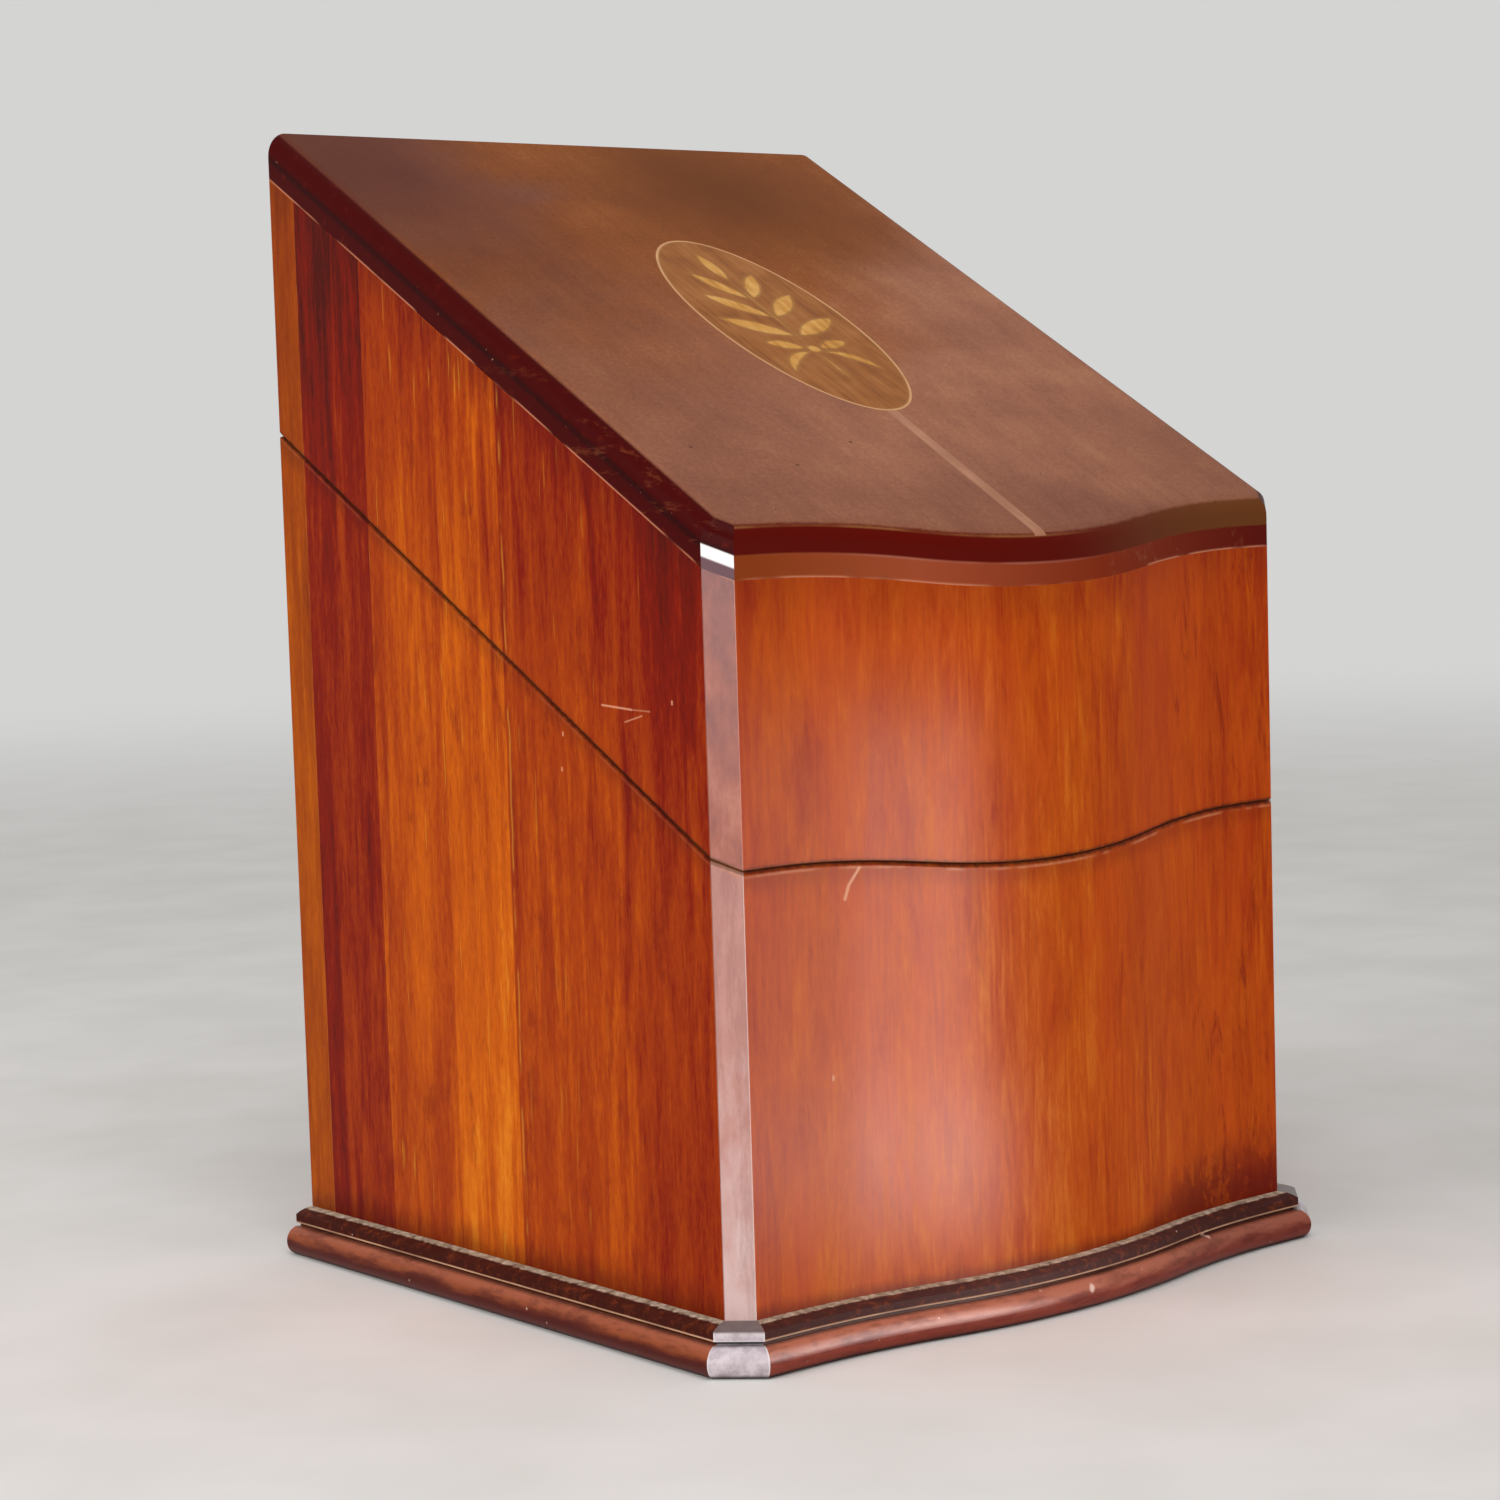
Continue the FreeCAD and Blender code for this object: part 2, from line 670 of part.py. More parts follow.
def slot_loops(i):
    """Slots of tier i, side by side between the cheeks. Spoon slots have rounded ends."""
    count, kind = SLOT_ROWS[i]
    wide = kind + "_slot_width"
    near = bay_line(i) + " + riser_thickness + slot_margin"
    far = bay_line(i + 1) + " - slot_margin"
    loops = []
    for k in range(count):
        middle = "(inner_half - cheek_thickness) * (%d / %d)" % (2 * k + 1 - count, count)
        left, right = "%s - %s / 2" % (middle, wide), "%s + %s / 2" % (middle, wide)
        if kind == "spoon":
            bow = wide + " * slot_end_share"
            rise = "%s * (slot_end_share - sqrt(slot_end_share * slot_end_share - 1 / 4))" % wide
            low, high = "%s + %s" % (near, rise), "%s - %s" % (far, rise)
            loops.append([(left, low, bow, -1), (right, low), (right, high, bow, -1), (left, high)])
        else:
            loops.append([(left, near), (right, near), (right, far), (left, far)])
    return loops


def make_rack():
    """Stepped tiers with their slots, on two stepped cheeks, with a riser under each step."""
    deep = "tier_thickness"
    inner = "inner_half - cheek_thickness"
    cheek_front = "cant_back + side_thickness"
    steps = [(cheek_front, "bottom_thickness")]
    for i in range(1, TIERS + 1):
        ledge = "%s - %s" % (tier_top(i), deep)
        steps += [(cheek_front if i == 1 else bay_line(i), ledge), (bay_line(i + 1), ledge)]
    steps.append((bay_line(TIERS + 1), "bottom_thickness"))
    cheek = extrusion("cheek", outline("cheek_steps", [steps], SIDEWAYS), "cheek_thickness")
    bind(cheek, {"Placement.Base.x": "-inner_half"})
    keep(cheek, "rack_cheek_left")
    keep(mirrored(cheek, "cheek_mirrored"), "rack_cheek_right")

    plan = [("-inner_half", bay_line(2)), ("-inner_half", cheek_front)]
    plan += [("front_thickness - corner_x", "front_inner")] + front_curve(1, "front_thickness")
    plan += [("corner_x - front_thickness", "front_inner")]
    plan += [("inner_half", cheek_front), ("inner_half", bay_line(2))]
    for i in range(1, TIERS + 1):
        low = "%s - %s" % (tier_top(i), deep)
        if i == 1:
            board = extrusion("tier_board_1", outline("tier_plan_1", [plan]), deep)
            bind(board, {"Placement.Base.z": low})
        else:
            corner = ("-inner_half", bay_line(i), low)
            board = block("tier_board_%d" % i, corner, ("2 * inner_half", "bay_depth", deep))
        slots = extrusion("slot_cutter_%d" % i, outline("slots_%d" % i, slot_loops(i)), "full_height")
        keep(pair("Cut", "slotted_%d" % i, board, slots), "rack_tier_%d" % i)
    for i in range(2, TIERS + 1):
        corner = ("-(%s)" % inner, bay_line(i), "%s - %s" % (tier_top(i - 1), deep))
        riser = block("riser_%d" % i, corner, ("2 * (%s)" % inner, "riser_thickness", "bay_rise"))
        keep(riser, "rack_riser_%d" % i)


def turned(name, profile):
    """Solid turned about the vertical from half of its section."""
    solid = doc.addObject("Part::Revolution", name)
    solid.Source = outline(name + "_profile", [profile], FACING_FRONT)
    solid.Axis = AXIS_Z
    solid.Angle = 360
    solid.Solid = True
    return solid


def screw_and_hole():
    """Slotted countersunk wood screw, pointing down from the origin, and the hole that it goes in.
    The head tapers through the whole thickness of the leaf, and the end is blunt, as on old screws."""
    head, shank = ("screw_head_radius", "0"), ("screw_radius", "-leaf_thickness")
    end = [("screw_radius", "-screw_length"), ("0", "-screw_length")]
    blank = turned("screw_blank", [("0", "0"), head, shank] + end)
    slot_place = ("-screw_head_radius", "-screw_slot / 2", "-screw_slot")
    slot = block("screw_slot_cut", slot_place, ("2 * screw_head_radius", "screw_slot", "2 * screw_slot"))
    wide, narrow = "screw_head_radius + screw_clearance", "screw_radius + screw_clearance"
    floor = "-screw_length - screw_clearance"
    countersink = [(wide, "0"), (narrow, "-leaf_thickness")]
    hole = turned("screw_hole", [("0", "0")] + countersink + [(narrow, floor), ("0", floor)])
    return pair("Cut", "screw", blank, slot), hole


def screw_set(name, screw, up):
    """A screw in every hole of one leaf on each hinge. Up is the way the lid's own screws point."""
    copies = []
    for k in range(SCREWS_PER_LEAF):
        copy = grouped("%s_%d" % (name, k), [screw])
        if up:
            copy.Placement.Rotation = FreeCAD.Rotation(AXIS_X, 180)
        place = {
            "x": "-hinge_x + %d / 2 * screw_pitch" % (2 * k + 1 - SCREWS_PER_LEAF),
            "y": "screw_row",
            "z": "lid_gap / 2" if up else "-lid_gap / 2",
        }
        bind(copy, {"Placement.Base." + axis: formula for axis, formula in place.items()})
        copies.append(copy)
    return both_sides(name, grouped(name + "_left", copies))


def at_joint(thing):
    """Lay a piece of the hinges, drawn flat about the pin's line, into the joint at the back."""
    return on_slope(thing, "0", "pin_y", "pin_z")


def turned_to_stop(lip, up):
    """Turn a stop lip, or its space, about the pin to where it meets its fellow in the open lid."""
    lip.Placement.Rotation = FreeCAD.Rotation(AXIS_X if up else -AXIS_X, 1)
    bind(lip, {"Placement.Rotation.Angle": "lid_opening / 2"})
    return lip


def make_leaf(name, up, knuckles, bore, holes):
    """One leaf of the left hinge: plate, knuckles and stop lip, bored and countersunk. The lips of
    the two leaves come together when the lid is open."""
    low = "lid_gap / 2" if up else "-lid_gap / 2 - leaf_thickness"
    lip_low = "stop_clearance / 2" if up else "-stop_clearance / 2 - stop_thickness"
    plate_size = ("hinge_length", "leaf_reach - leaf_start", "leaf_thickness")
    lip_size = ("hinge_length", "stop_tip - leaf_start", "stop_thickness")
    solids = [block(name + "_plate", ("hinge_left", "-leaf_reach", low), plate_size)]
    lip_solids = [block(name + "_lip", ("hinge_left", "leaf_start", lip_low), lip_size)]
    bores = []
    for k, (start, length) in enumerate(knuckles):
        tag = "%s_%d_" % (name, k)
        start = "hinge_left + " + start
        tongue_size = (length, "leaf_start", "leaf_thickness")
        web_size = (length, "leaf_start - web_start", "stop_thickness")
        solids.append(rod(tag + "knuckle", start, length, "knuckle_radius"))
        solids.append(block(tag + "tongue", (start, "-leaf_start", low), tongue_size))
        lip_solids.append(block(tag + "web", (start, "web_start", lip_low), web_size))
        bores.append(rod(tag + "bore", start, length, bore))
    lip = turned_to_stop(fused(name + "_stop", lip_solids), up)
    blank = fused(name + "_blank", solids + [lip])
    return at_joint(pair("Cut", name, blank, fused(name + "_holes", bores + [holes])))


def make_hinges(walls):
    """Two brass stop hinges let into the joint at the back, with their pins and screws."""
    screw, hole = screw_and_hole()
    recess_place = ("hinge_left", "-leaf_reach", "-lid_gap / 2 - leaf_thickness")
    recess_size = ("hinge_length", "leaf_reach + overrun", "lid_gap + 2 * leaf_thickness")
    hollow_start, hollow_length = "hinge_left - hinge_clearance", "hinge_length + 2 * hinge_clearance"
    recess_box = block("recess_box", recess_place, recess_size)
    hollow = rod("recess_hollow", hollow_start, hollow_length, "leaf_start")
    recess = both_sides("recesses", fused("recess", [recess_box, hollow]))
    lip_depth = "stop_thickness + stop_clearance + hinge_clearance"
    lip_size = (hollow_length, "stop_tip + hinge_clearance", lip_depth)
    lip_room = block("lip_room", (hollow_start, "0", "-hinge_clearance"), lip_size)
    lip_spaces = both_sides("lip_spaces", turned_to_stop(grouped("lip_space", [lip_room]), True))

    outer = [("0", "knuckle_length"), ("hinge_length - knuckle_length", "knuckle_length")]
    middle = [("knuckle_length + hinge_clearance", "hinge_length - 2 * (knuckle_length + hinge_clearance)")]
    leaves = {
        "carcass": ("lower", False, outer, "pin_radius"),
        "lid": ("upper", True, middle, "pin_radius + pin_clearance"),
    }
    for body, (place, up, knuckles, bore) in leaves.items():
        holes = screw_set(place + "_screw_holes", hole, up)
        leaf = make_leaf(place + "_leaf", up, knuckles, bore, holes)
        keep(leaf, "hinge_leaf_%s_left" % place)
        keep(mirrored(leaf, place + "_leaf_mirrored"), "hinge_leaf_%s_right" % place)
        keep(at_joint(screw_set(place + "_screws", screw, up)), "hinge_screws_" + place)
        cutter = at_joint(fused(place + "_housing", [recess, holes] + ([lip_spaces] if up else [])))
        walls[body + "_back"] = pair("Cut", body + "_back_housed", walls[body + "_back"], cutter)

    pin = rod("pin", "hinge_left", "hinge_length", "pin_radius")
    bind(pin, {"Placement.Base.y": "pin_y", "Placement.Base.z": "pin_z"})
    keep(pin, "hinge_pin_left")
    keep(mirrored(pin, "pin_mirrored"), "hinge_pin_right")


def name_walls(walls):
    """Give the walls their names and make the right-hand ones."""
    labels = {
        "carcass_side": "side_board_left",
        "carcass_corner": "corner_strip_left",
        "carcass_front": "front_panel",
        "carcass_back": "back_board",
        "lid_side": "lid_side_left",
        "lid_corner": "lid_corner_left",
        "lid_front": "lid_front",
        "lid_back": "lid_back",
    }
    for name, label in labels.items():
        keep(walls[name], label)
        if label.endswith("_left"):
            keep(mirrored(walls[name], name + "_mirrored"), label.replace("_left", "_right"))


def check_model():
    """Stop with the names of any objects that failed, before anything is written."""
    doc.recompute()
    bad = [thing.Name for thing in doc.Objects if {"Invalid", "Error"} & set(thing.State)]
    for thing in nodes:
        if thing.Shape.isNull() or not thing.Shape.isValid() or not thing.Shape.Solids:
            bad.append(thing.Label)
    if bad:
        raise RuntimeError("these objects failed: " + ", ".join(bad))


def write_parts():
    """One STEP file for each sub-part, under its own name."""
    os.makedirs("parts", exist_ok=True)
    for thing in nodes:
        thing.Shape.exportStep("parts/%s.step" % thing.Label)


fill_sheet()
case_plan = case_outline()
keep(extrusion("base", case_plan, "bottom_thickness"), "bottom_board")
walls = make_walls(case_plan)
make_hinges(walls)
name_walls(walls)
make_plinth()
make_rack()
make_inlays(make_top(case_plan))
check_model()
write_parts()
for thing in nodes:
    print("%-24s %2d solids %10.1f mm3" % (thing.Label, len(thing.Shape.Solids), thing.Shape.Volume))
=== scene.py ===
"""Looks of the antique knife box: camera, lamps, floor and a procedural material for every piece."""

import math

import bpy
from mathutils import Matrix

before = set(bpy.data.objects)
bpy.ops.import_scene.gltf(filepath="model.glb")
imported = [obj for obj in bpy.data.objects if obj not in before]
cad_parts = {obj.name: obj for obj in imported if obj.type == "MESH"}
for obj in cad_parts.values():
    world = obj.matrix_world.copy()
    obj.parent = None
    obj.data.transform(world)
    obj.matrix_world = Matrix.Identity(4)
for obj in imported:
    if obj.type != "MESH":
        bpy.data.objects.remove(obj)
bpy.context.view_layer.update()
scene = bpy.context.scene

# Places on the box, in metres. Heights on the slope are taken at the plane of the front corners.
SLOPE = math.radians(30)
FRONT_PLANE = -0.097067
DEPTH = 0.210
BACK_PLANE = FRONT_PLANE + DEPTH
HALF_WIDTH = 0.1125
JOINT = 0.136
SLAB_FOOT = JOINT + 0.0783
SLAB_TOP = SLAB_FOOT + 0.0124 / math.cos(SLOPE)
PLINTH_TOP = 0.014
MM = 0.001
# The slab's face meets its round-over here, and the moulding has a ledge with a quirk under it.
ROUND_FOOT = SLAB_TOP - 7.8 * MM
LEDGE = PLINTH_TOP - 4.2 * MM
QUIRK = PLINTH_TOP - 4.9 * MM

# Camera fitted to the photograph: place in metres, angles in degrees, lens in millimetres
CAMERA_PLACE = (-0.6835027, -0.7865035, 0.2514472)
CAMERA_TURN, CAMERA_TILT, CAMERA_ROLL = -40.1143, 84.7664, -1.7189
LENS, SENSOR = 81.2947, 36.0
BACKDROP = "#d4d4d3"

# Staves of the sides: where each starts, in millimetres from the front, and its lightness
STAVES = [(0, 0.39), (32, 0.43), (54, 0.47), (96, 0.66), (127, 0.54), (163, 0.27)]

# Marks that the photo shows: start and end in metres, width in millimetres, and strength.
# On the left side the places are y and z, on the front and the moulding x and z, on the top x and y.
SIDE_MARKS = [
    ((-0.0458, 0.1796), (-0.0590, 0.1788), 0.45, 1.0),
    ((-0.0590, 0.1788), (-0.0670, 0.1786), 0.35, 0.5),
    ((-0.0635, 0.1773), (-0.0559, 0.1753), 0.35, 0.7),
    ((-0.0767, 0.1811), (-0.0767, 0.1817), 0.55, 1.0),
    ((-0.0274, 0.1704), (-0.0274, 0.1710), 0.55, 1.0),
    ((-0.0264, 0.1604), (-0.0264, 0.1610), 0.55, 1.0),
]
FRONT_MARKS = [
    ((-0.0714, 0.1253), (-0.0700, 0.1290), 0.75, 1.0),
    ((-0.0700, 0.1290), (-0.0664, 0.1335), 0.65, 1.0),
    ((-0.0769, 0.0758), (-0.0769, 0.0768), 0.60, 1.0),
]
TOP_SPECKS = [
    ((-0.0599, -0.0704), (-0.0594, -0.0704), 0.6, 1.0),
    ((-0.0306, -0.0602), (-0.0301, -0.0602), 0.6, 1.0),
    ((-0.0899, -0.0602), (-0.0894, -0.0602), 0.6, 1.0),
]
PLINTH_CHIPS = [
    ((0.0022, 0.0059), (0.0026, 0.0064), 1.3, 1.0),
    ((0.0639, 0.0089), (0.0643, 0.0093), 1.1, 1.0),
]


def shade(text):
    """Linear colour of a colour written as on a paint card."""
    parts = [int(text[k:k + 2], 16) / 255 for k in (1, 3, 5)]
    linear = [p / 12.92 if p <= 0.04045 else ((p + 0.055) / 1.055) ** 2.4 for p in parts]
    return (*linear, 1.0)


class Finish:
    """One material. Its methods add nodes and return their outputs."""

    def __init__(self, name, specular=0.35, coat=0.0, coat_roughness=0.2, metallic=0.0):
        self.material = bpy.data.materials.new(name + "_finish")
        self.material.use_nodes = True
        self.tree = self.material.node_tree
        self.shader = self.tree.nodes["Principled BSDF"]
        self.shader.inputs["Specular IOR Level"].default_value = specular
        self.shader.inputs["Coat Weight"].default_value = coat
        self.shader.inputs["Coat Roughness"].default_value = coat_roughness
        self.shader.inputs["Metallic"].default_value = metallic
        texture_place = self.tree.nodes.new("ShaderNodeTexCoord")
        self.place = texture_place.outputs["Object"]
        self.x, self.y, self.z = self.split(self.place)
        self.nx, self.ny, self.nz = self.split(texture_place.outputs["Normal"])

    def node(self, kind, values=(), **settings):
        made = self.tree.nodes.new(kind)
        for key, value in settings.items():
            setattr(made, key, value)
        for key, value in dict(values).items():
            self.put(made.inputs[key], value)
        return made

    def put(self, socket, value):
        if isinstance(value, bpy.types.NodeSocket):
            self.tree.links.new(value, socket)
        else:
            socket.default_value = value

    def split(self, vector):
        return self.node("ShaderNodeSeparateXYZ", {0: vector}).outputs

    def math(self, operation, *values, clamp=False):
        made = self.node("ShaderNodeMath", dict(enumerate(values)), operation=operation, use_clamp=clamp)
        return made.outputs[0]

    def add(self, *values):
        total = values[0]
        for value in values[1:]:
            total = self.math("ADD", total, value)
        return total

    def times(self, *values):
        total = values[0]
        for value in values[1:]:
            total = self.math("MULTIPLY", total, value)
        return total

    def rise(self, value, low, high):
        """0 below low, 1 above high and a soft step between. Falls where high is the lower."""
        ends = {"Value": value, "From Min": low, "From Max": high}
        return self.node("ShaderNodeMapRange", ends, interpolation_type="SMOOTHSTEP").outputs["Result"]

    def spread(self, value, low, high, to_low, to_high):
        ends = {"Value": value, "From Min": low, "From Max": high, "To Min": to_low, "To Max": to_high}
        return self.node("ShaderNodeMapRange", ends).outputs["Result"]

    def near(self, value, centre, reach):
        """1 at the centre, fading to 0 at the reach."""
        gap = self.math("ABSOLUTE", self.add(value, -centre))
        return self.rise(gap, reach, 0.0)

    def noise(self, stretch, detail=2.0, roughness=0.5, distortion=0.0, shift=0.0):
        """Noise with so many waves to the metre along each axis."""
        moved = (shift, shift * 0.7, shift * 0.3)
        scaled = self.node("ShaderNodeMapping", {
            "Vector": self.place, "Scale": stretch, "Location": moved})
        values = {"Vector": scaled.outputs[0], "Scale": 1.0, "Detail": detail,
                  "Roughness": roughness, "Distortion": distortion}
        return self.node("ShaderNodeTexNoise", values).outputs["Fac"]

    def ramp(self, value, stops, constant=False):
        made = self.node("ShaderNodeValToRGB", {"Fac": value})
        band = made.color_ramp
        band.interpolation = "CONSTANT" if constant else "LINEAR"
        while len(band.elements) < len(stops):
            band.elements.new(1.0)
        for element, (place, colour) in zip(band.elements, stops):
            element.position = place
            element.color = shade(colour) if isinstance(colour, str) else (colour, colour, colour, 1.0)
        return made.outputs["Color"]

    def mix(self, share, first, second, blend="MIX"):
        made = self.node("ShaderNodeMix", data_type="RGBA", blend_type=blend)
        first, second = (shade(c) if isinstance(c, str) else c for c in (first, second))
        self.put(made.inputs["Factor"], share)
        self.put(made.inputs[6], first)
        self.put(made.inputs[7], second)
        return made.outputs[2]

    def edges(self, reach):
        """1 on the arrises of the piece, 0 on its faces."""
        rounded = self.node("ShaderNodeBevel", {"Radius": reach}, samples=6).outputs[0]
        face = self.node("ShaderNodeNewGeometry").outputs["True Normal"]
        match = self.node("ShaderNodeVectorMath", {0: rounded, 1: face}, operation="DOT_PRODUCT")
        return self.rise(match.outputs["Value"], 0.995, 0.90)

    def stroke(self, across, start, end, width):
        """1 along a short line between two places, each given without the axis that it is seen along."""
        keep = [axis for axis in range(3) if axis != across]
        first, last = [0.0, 0.0, 0.0], [0.0, 0.0, 0.0]
        for axis, low, high in zip(keep, start, end):
            first[axis], last[axis] = low, high
        run = [b - a for a, b in zip(first, last)]
        square = sum(r * r for r in run)
        parts = [self.x, self.y, self.z]
        parts[across] = 0.0
        flat = self.node("ShaderNodeCombineXYZ", dict(enumerate(parts))).outputs[0]
        gone = self.node("ShaderNodeVectorMath", {0: flat, 1: first}, operation="SUBTRACT").outputs[0]
        scaled = {0: gone, 1: [r / square for r in run]}
        share = self.node("ShaderNodeVectorMath", scaled, operation="DOT_PRODUCT").outputs["Value"]
        share = self.math("ADD", share, 0.0, clamp=True)
        nearest = self.node("ShaderNodeVectorMath", {0: run, "Scale": share}, operation="SCALE")
        ends = {0: gone, 1: nearest.outputs[0]}
        gap = self.node("ShaderNodeVectorMath", ends, operation="DISTANCE").outputs["Value"]
        return self.rise(gap, width, 0.3 * width)

    def marks(self, across, strokes):
        """The strongest of several strokes, each with a start, an end, a width and a strength."""
        strongest = 0.0
        for start, end, width, strength in strokes:
            line = self.times(self.stroke(across, start, end, width * MM), strength)
            strongest = self.math("MAXIMUM", strongest, line)
        return strongest

    def outward(self):
        """1 on the outside of the sides, -1 on their inside."""
        return self.times(self.math("SIGN", self.x), self.nx)

    def slant(self):
        """1.4 on the canted corners, and 1 on the sides and the front."""
        return self.add(self.outward(), self.times(self.ny, -1.0))

    def slope_height(self):
        """Height above the slope through the foot of the front, so that the joint has one height."""
        back = self.add(self.y, -FRONT_PLANE)
        return self.add(self.z, self.times(back, -math.tan(SLOPE)))

    def finish(self, colour, roughness, height=None, bump=0.1, depth=0.2 * MM):
        self.put(self.shader.inputs["Base Color"], colour)
        self.put(self.shader.inputs["Roughness"], roughness)
        if height is not None:
            values = {"Strength": bump, "Distance": depth, "Height": height}
            self.put(self.shader.inputs["Normal"], self.node("ShaderNodeBump", values).outputs[0])
        return self.material


# Tones of polished mahogany, from the darkest streaks to the lightest
MAHOGANY = [(0.0, "#480800"), (0.25, "#7c1400"), (0.5, "#a33c00"), (0.72, "#c65c00"), (1.0, "#e68a1c")]


def upright_grain(f, shift=0.0, wander=0.35):
    """Broken upright grain, about 0.5, with the fine dark pores apart."""
    broad = f.noise((55, 55, 6.0), detail=2, roughness=0.5, distortion=wander, shift=shift)
    medium = f.noise((230, 230, 17.0), detail=2, roughness=0.5, distortion=wander * 1.6, shift=shift + 3)
    fine = f.noise((560, 560, 75.0), detail=3, roughness=0.6, distortion=0.4, shift=shift + 7)
    flecks = f.noise((1300, 1300, 300.0), detail=2, roughness=0.6, shift=shift + 5)
    zones = f.noise((38, 38, 9.0), detail=2, shift=shift + 9)
    strength = f.spread(zones, 0.38, 0.64, 0.35, 1.5)
    streaks = f.times(f.add(medium, -0.5), strength)
    grain = f.add(0.5, f.times(f.add(broad, -0.5), 0.36), f.times(streaks, 0.44),
                  f.times(f.add(fine, -0.5), 0.26), f.times(f.add(flecks, -0.5), 0.20))
    pores = f.noise((2200, 2200, 150.0), detail=1, roughness=0.4, shift=shift + 11)
    return grain, f.rise(pores, 0.64, 0.78)


def polished(f, level, grain, pores, contrast=1.6):
    """Mahogany of a lightness level, with its grain and pores."""
    swing = f.times(f.add(grain, -0.5), contrast)
    value = f.add(level, swing, f.times(pores, -0.10))
    return f.ramp(value, MAHOGANY)


def grime_and_shade(f, foot_reach):
    """Darker along the foot of the case and by the joint, with painted shade just under the slab."""
    height = f.slope_height()
    patchy = f.noise((60, 60, 60), detail=3, roughness=0.6, shift=21)
    blotches = f.noise((90, 90, 60), detail=4, roughness=0.65, shift=24)
    above = f.math("DIVIDE", f.add(f.z, -PLINTH_TOP), foot_reach)
    foot = f.rise(f.add(above, f.times(f.add(blotches, -0.5), 1.6)), 1.6, -0.2)
    # Painted shade: darker just under the slab.
    slab_shade = f.rise(f.add(height, f.times(patchy, 0.016)), SLAB_FOOT - 0.010, SLAB_FOOT + 0.012)
    joint = f.near(height, JOINT - 0.002, 0.006)
    dirt_and_shade = f.add(f.times(foot, 0.72), f.times(slab_shade, 0.35), f.times(joint, 0.30))
    return f.math("MINIMUM", dirt_and_shade, 1.0), height


def rubbed_arrises(f, reach):
    """Where the arrises of a piece are rubbed, with gaps between."""
    gaps = f.rise(f.noise((120, 120, 120), detail=2, shift=2), 0.35, 0.6)
    return f.times(f.edges(reach), gaps)


def worn_joint(f, height, colour, paleness=0.7):
    """Thin light arris under the joint and a dark, slightly ragged line on it."""
    breaks = f.rise(f.noise((90, 90, 90), detail=2, shift=5), 0.42, 0.56)
    light = f.times(f.near(height, JOINT - 1.2 * MM, 0.7 * MM), breaks, paleness)
    colour = f.mix(light, colour, "#cf8058")
    ragged = f.times(f.add(f.noise((500, 500, 500), detail=3, shift=6), -0.5), 1.2 * MM)
    dark = f.near(f.add(height, ragged), JOINT + 0.2 * MM, 1.5 * MM)
    return f.mix(f.times(dark, 0.95), colour, "#220301")


def raw_inside(f, outer, colour, roughness, stretch=(420, 420, 16)):
    """Faces turned away from the outside are bare mahogany."""
    grain = f.noise(stretch, detail=3, roughness=0.6, shift=31)
    cloud = f.noise((24, 24, 24), detail=3, shift=32)
    bare = f.ramp(f.add(f.times(grain, 0.55), f.times(cloud, 0.45)), [
        (0.32, "#5a2a14"), (0.50, "#7a4222"), (0.68, "#935a34")])
    inner = f.math("SUBTRACT", 1.0, outer)
    return f.mix(outer, bare, colour), f.add(f.times(inner, 0.3), roughness)


def side_veneer():
    """Glued staves of different tone with upright grain, and the marks on the left side."""
    f = Finish("side_veneer", specular=0.05, coat=0.05, coat_roughness=0.12)
    grain, pores = upright_grain(f)
    depth = f.spread(f.y, FRONT_PLANE, BACK_PLANE, 0.0, 1.0)
    level = f.ramp(depth, [(start * MM / DEPTH, tone) for start, tone in STAVES], constant=True)
    dirt_and_shade, height = grime_and_shade(f, 7 * MM)
    # Painted shade: the case darkens slightly upwards, and the lid darkens more towards the slab.
    case_shade = f.spread(height, 0.0, JOINT, 0.02, -0.03)
    lid_shade = f.spread(height, JOINT, SLAB_FOOT, 0.0, -0.17)
    colour = polished(f, f.add(level, f.add(case_shade, lid_shade)), grain, pores, contrast=1.25)
    reds = f.rise(f.noise((130, 130, 45), detail=4, roughness=0.7, shift=26), 0.56, 0.70)
    colour = f.mix(f.times(reds, 0.45), colour, "#6e1000")
    golds = f.rise(f.noise((700, 700, 38), detail=2, shift=27), 0.66, 0.74)
    colour = f.mix(f.times(golds, 0.50, f.rise(level, 0.35, 0.6)), colour, "#d08c24")
    wave = f.times(f.add(f.noise((20, 20, 60), detail=2, shift=28), -0.5), 2.0 * MM)
    stave_edge = f.near(f.add(f.y, wave), FRONT_PLANE + 0.0955, 0.7 * MM)
    broken = f.rise(f.noise((60, 60, 60), detail=2, shift=29), 0.40, 0.55)
    colour = f.mix(f.times(stave_edge, broken, 0.5), colour, "#d08a2c")
    # Darker along the foot and by the joint, with painted shade under the slab.
    colour = f.mix(f.times(dirt_and_shade, 0.85), colour, "#420602")
    colour = worn_joint(f, height, colour, paleness=0.12)
    left = f.rise(f.x, 0.0, -0.001)
    colour = f.mix(f.times(f.marks(0, SIDE_MARKS), left, 0.50), colour, "#f4b088")
    off_joint = f.rise(f.math("ABSOLUTE", f.add(height, -JOINT)), 1.5 * MM, 3.0 * MM)
    edge = f.times(rubbed_arrises(f, 0.5 * MM), off_joint)
    colour = f.mix(f.times(edge, 0.35), colour, "#c4642c")
    outer = f.rise(f.outward(), 0.4, 0.6)
    roughness = f.add(0.30, f.times(grain, 0.18), f.times(dirt_and_shade, 0.15))
    colour, roughness = raw_inside(f, outer, colour, roughness)
    return f.finish(colour, roughness, f.add(grain, f.times(pores, -0.5)), bump=0.12)


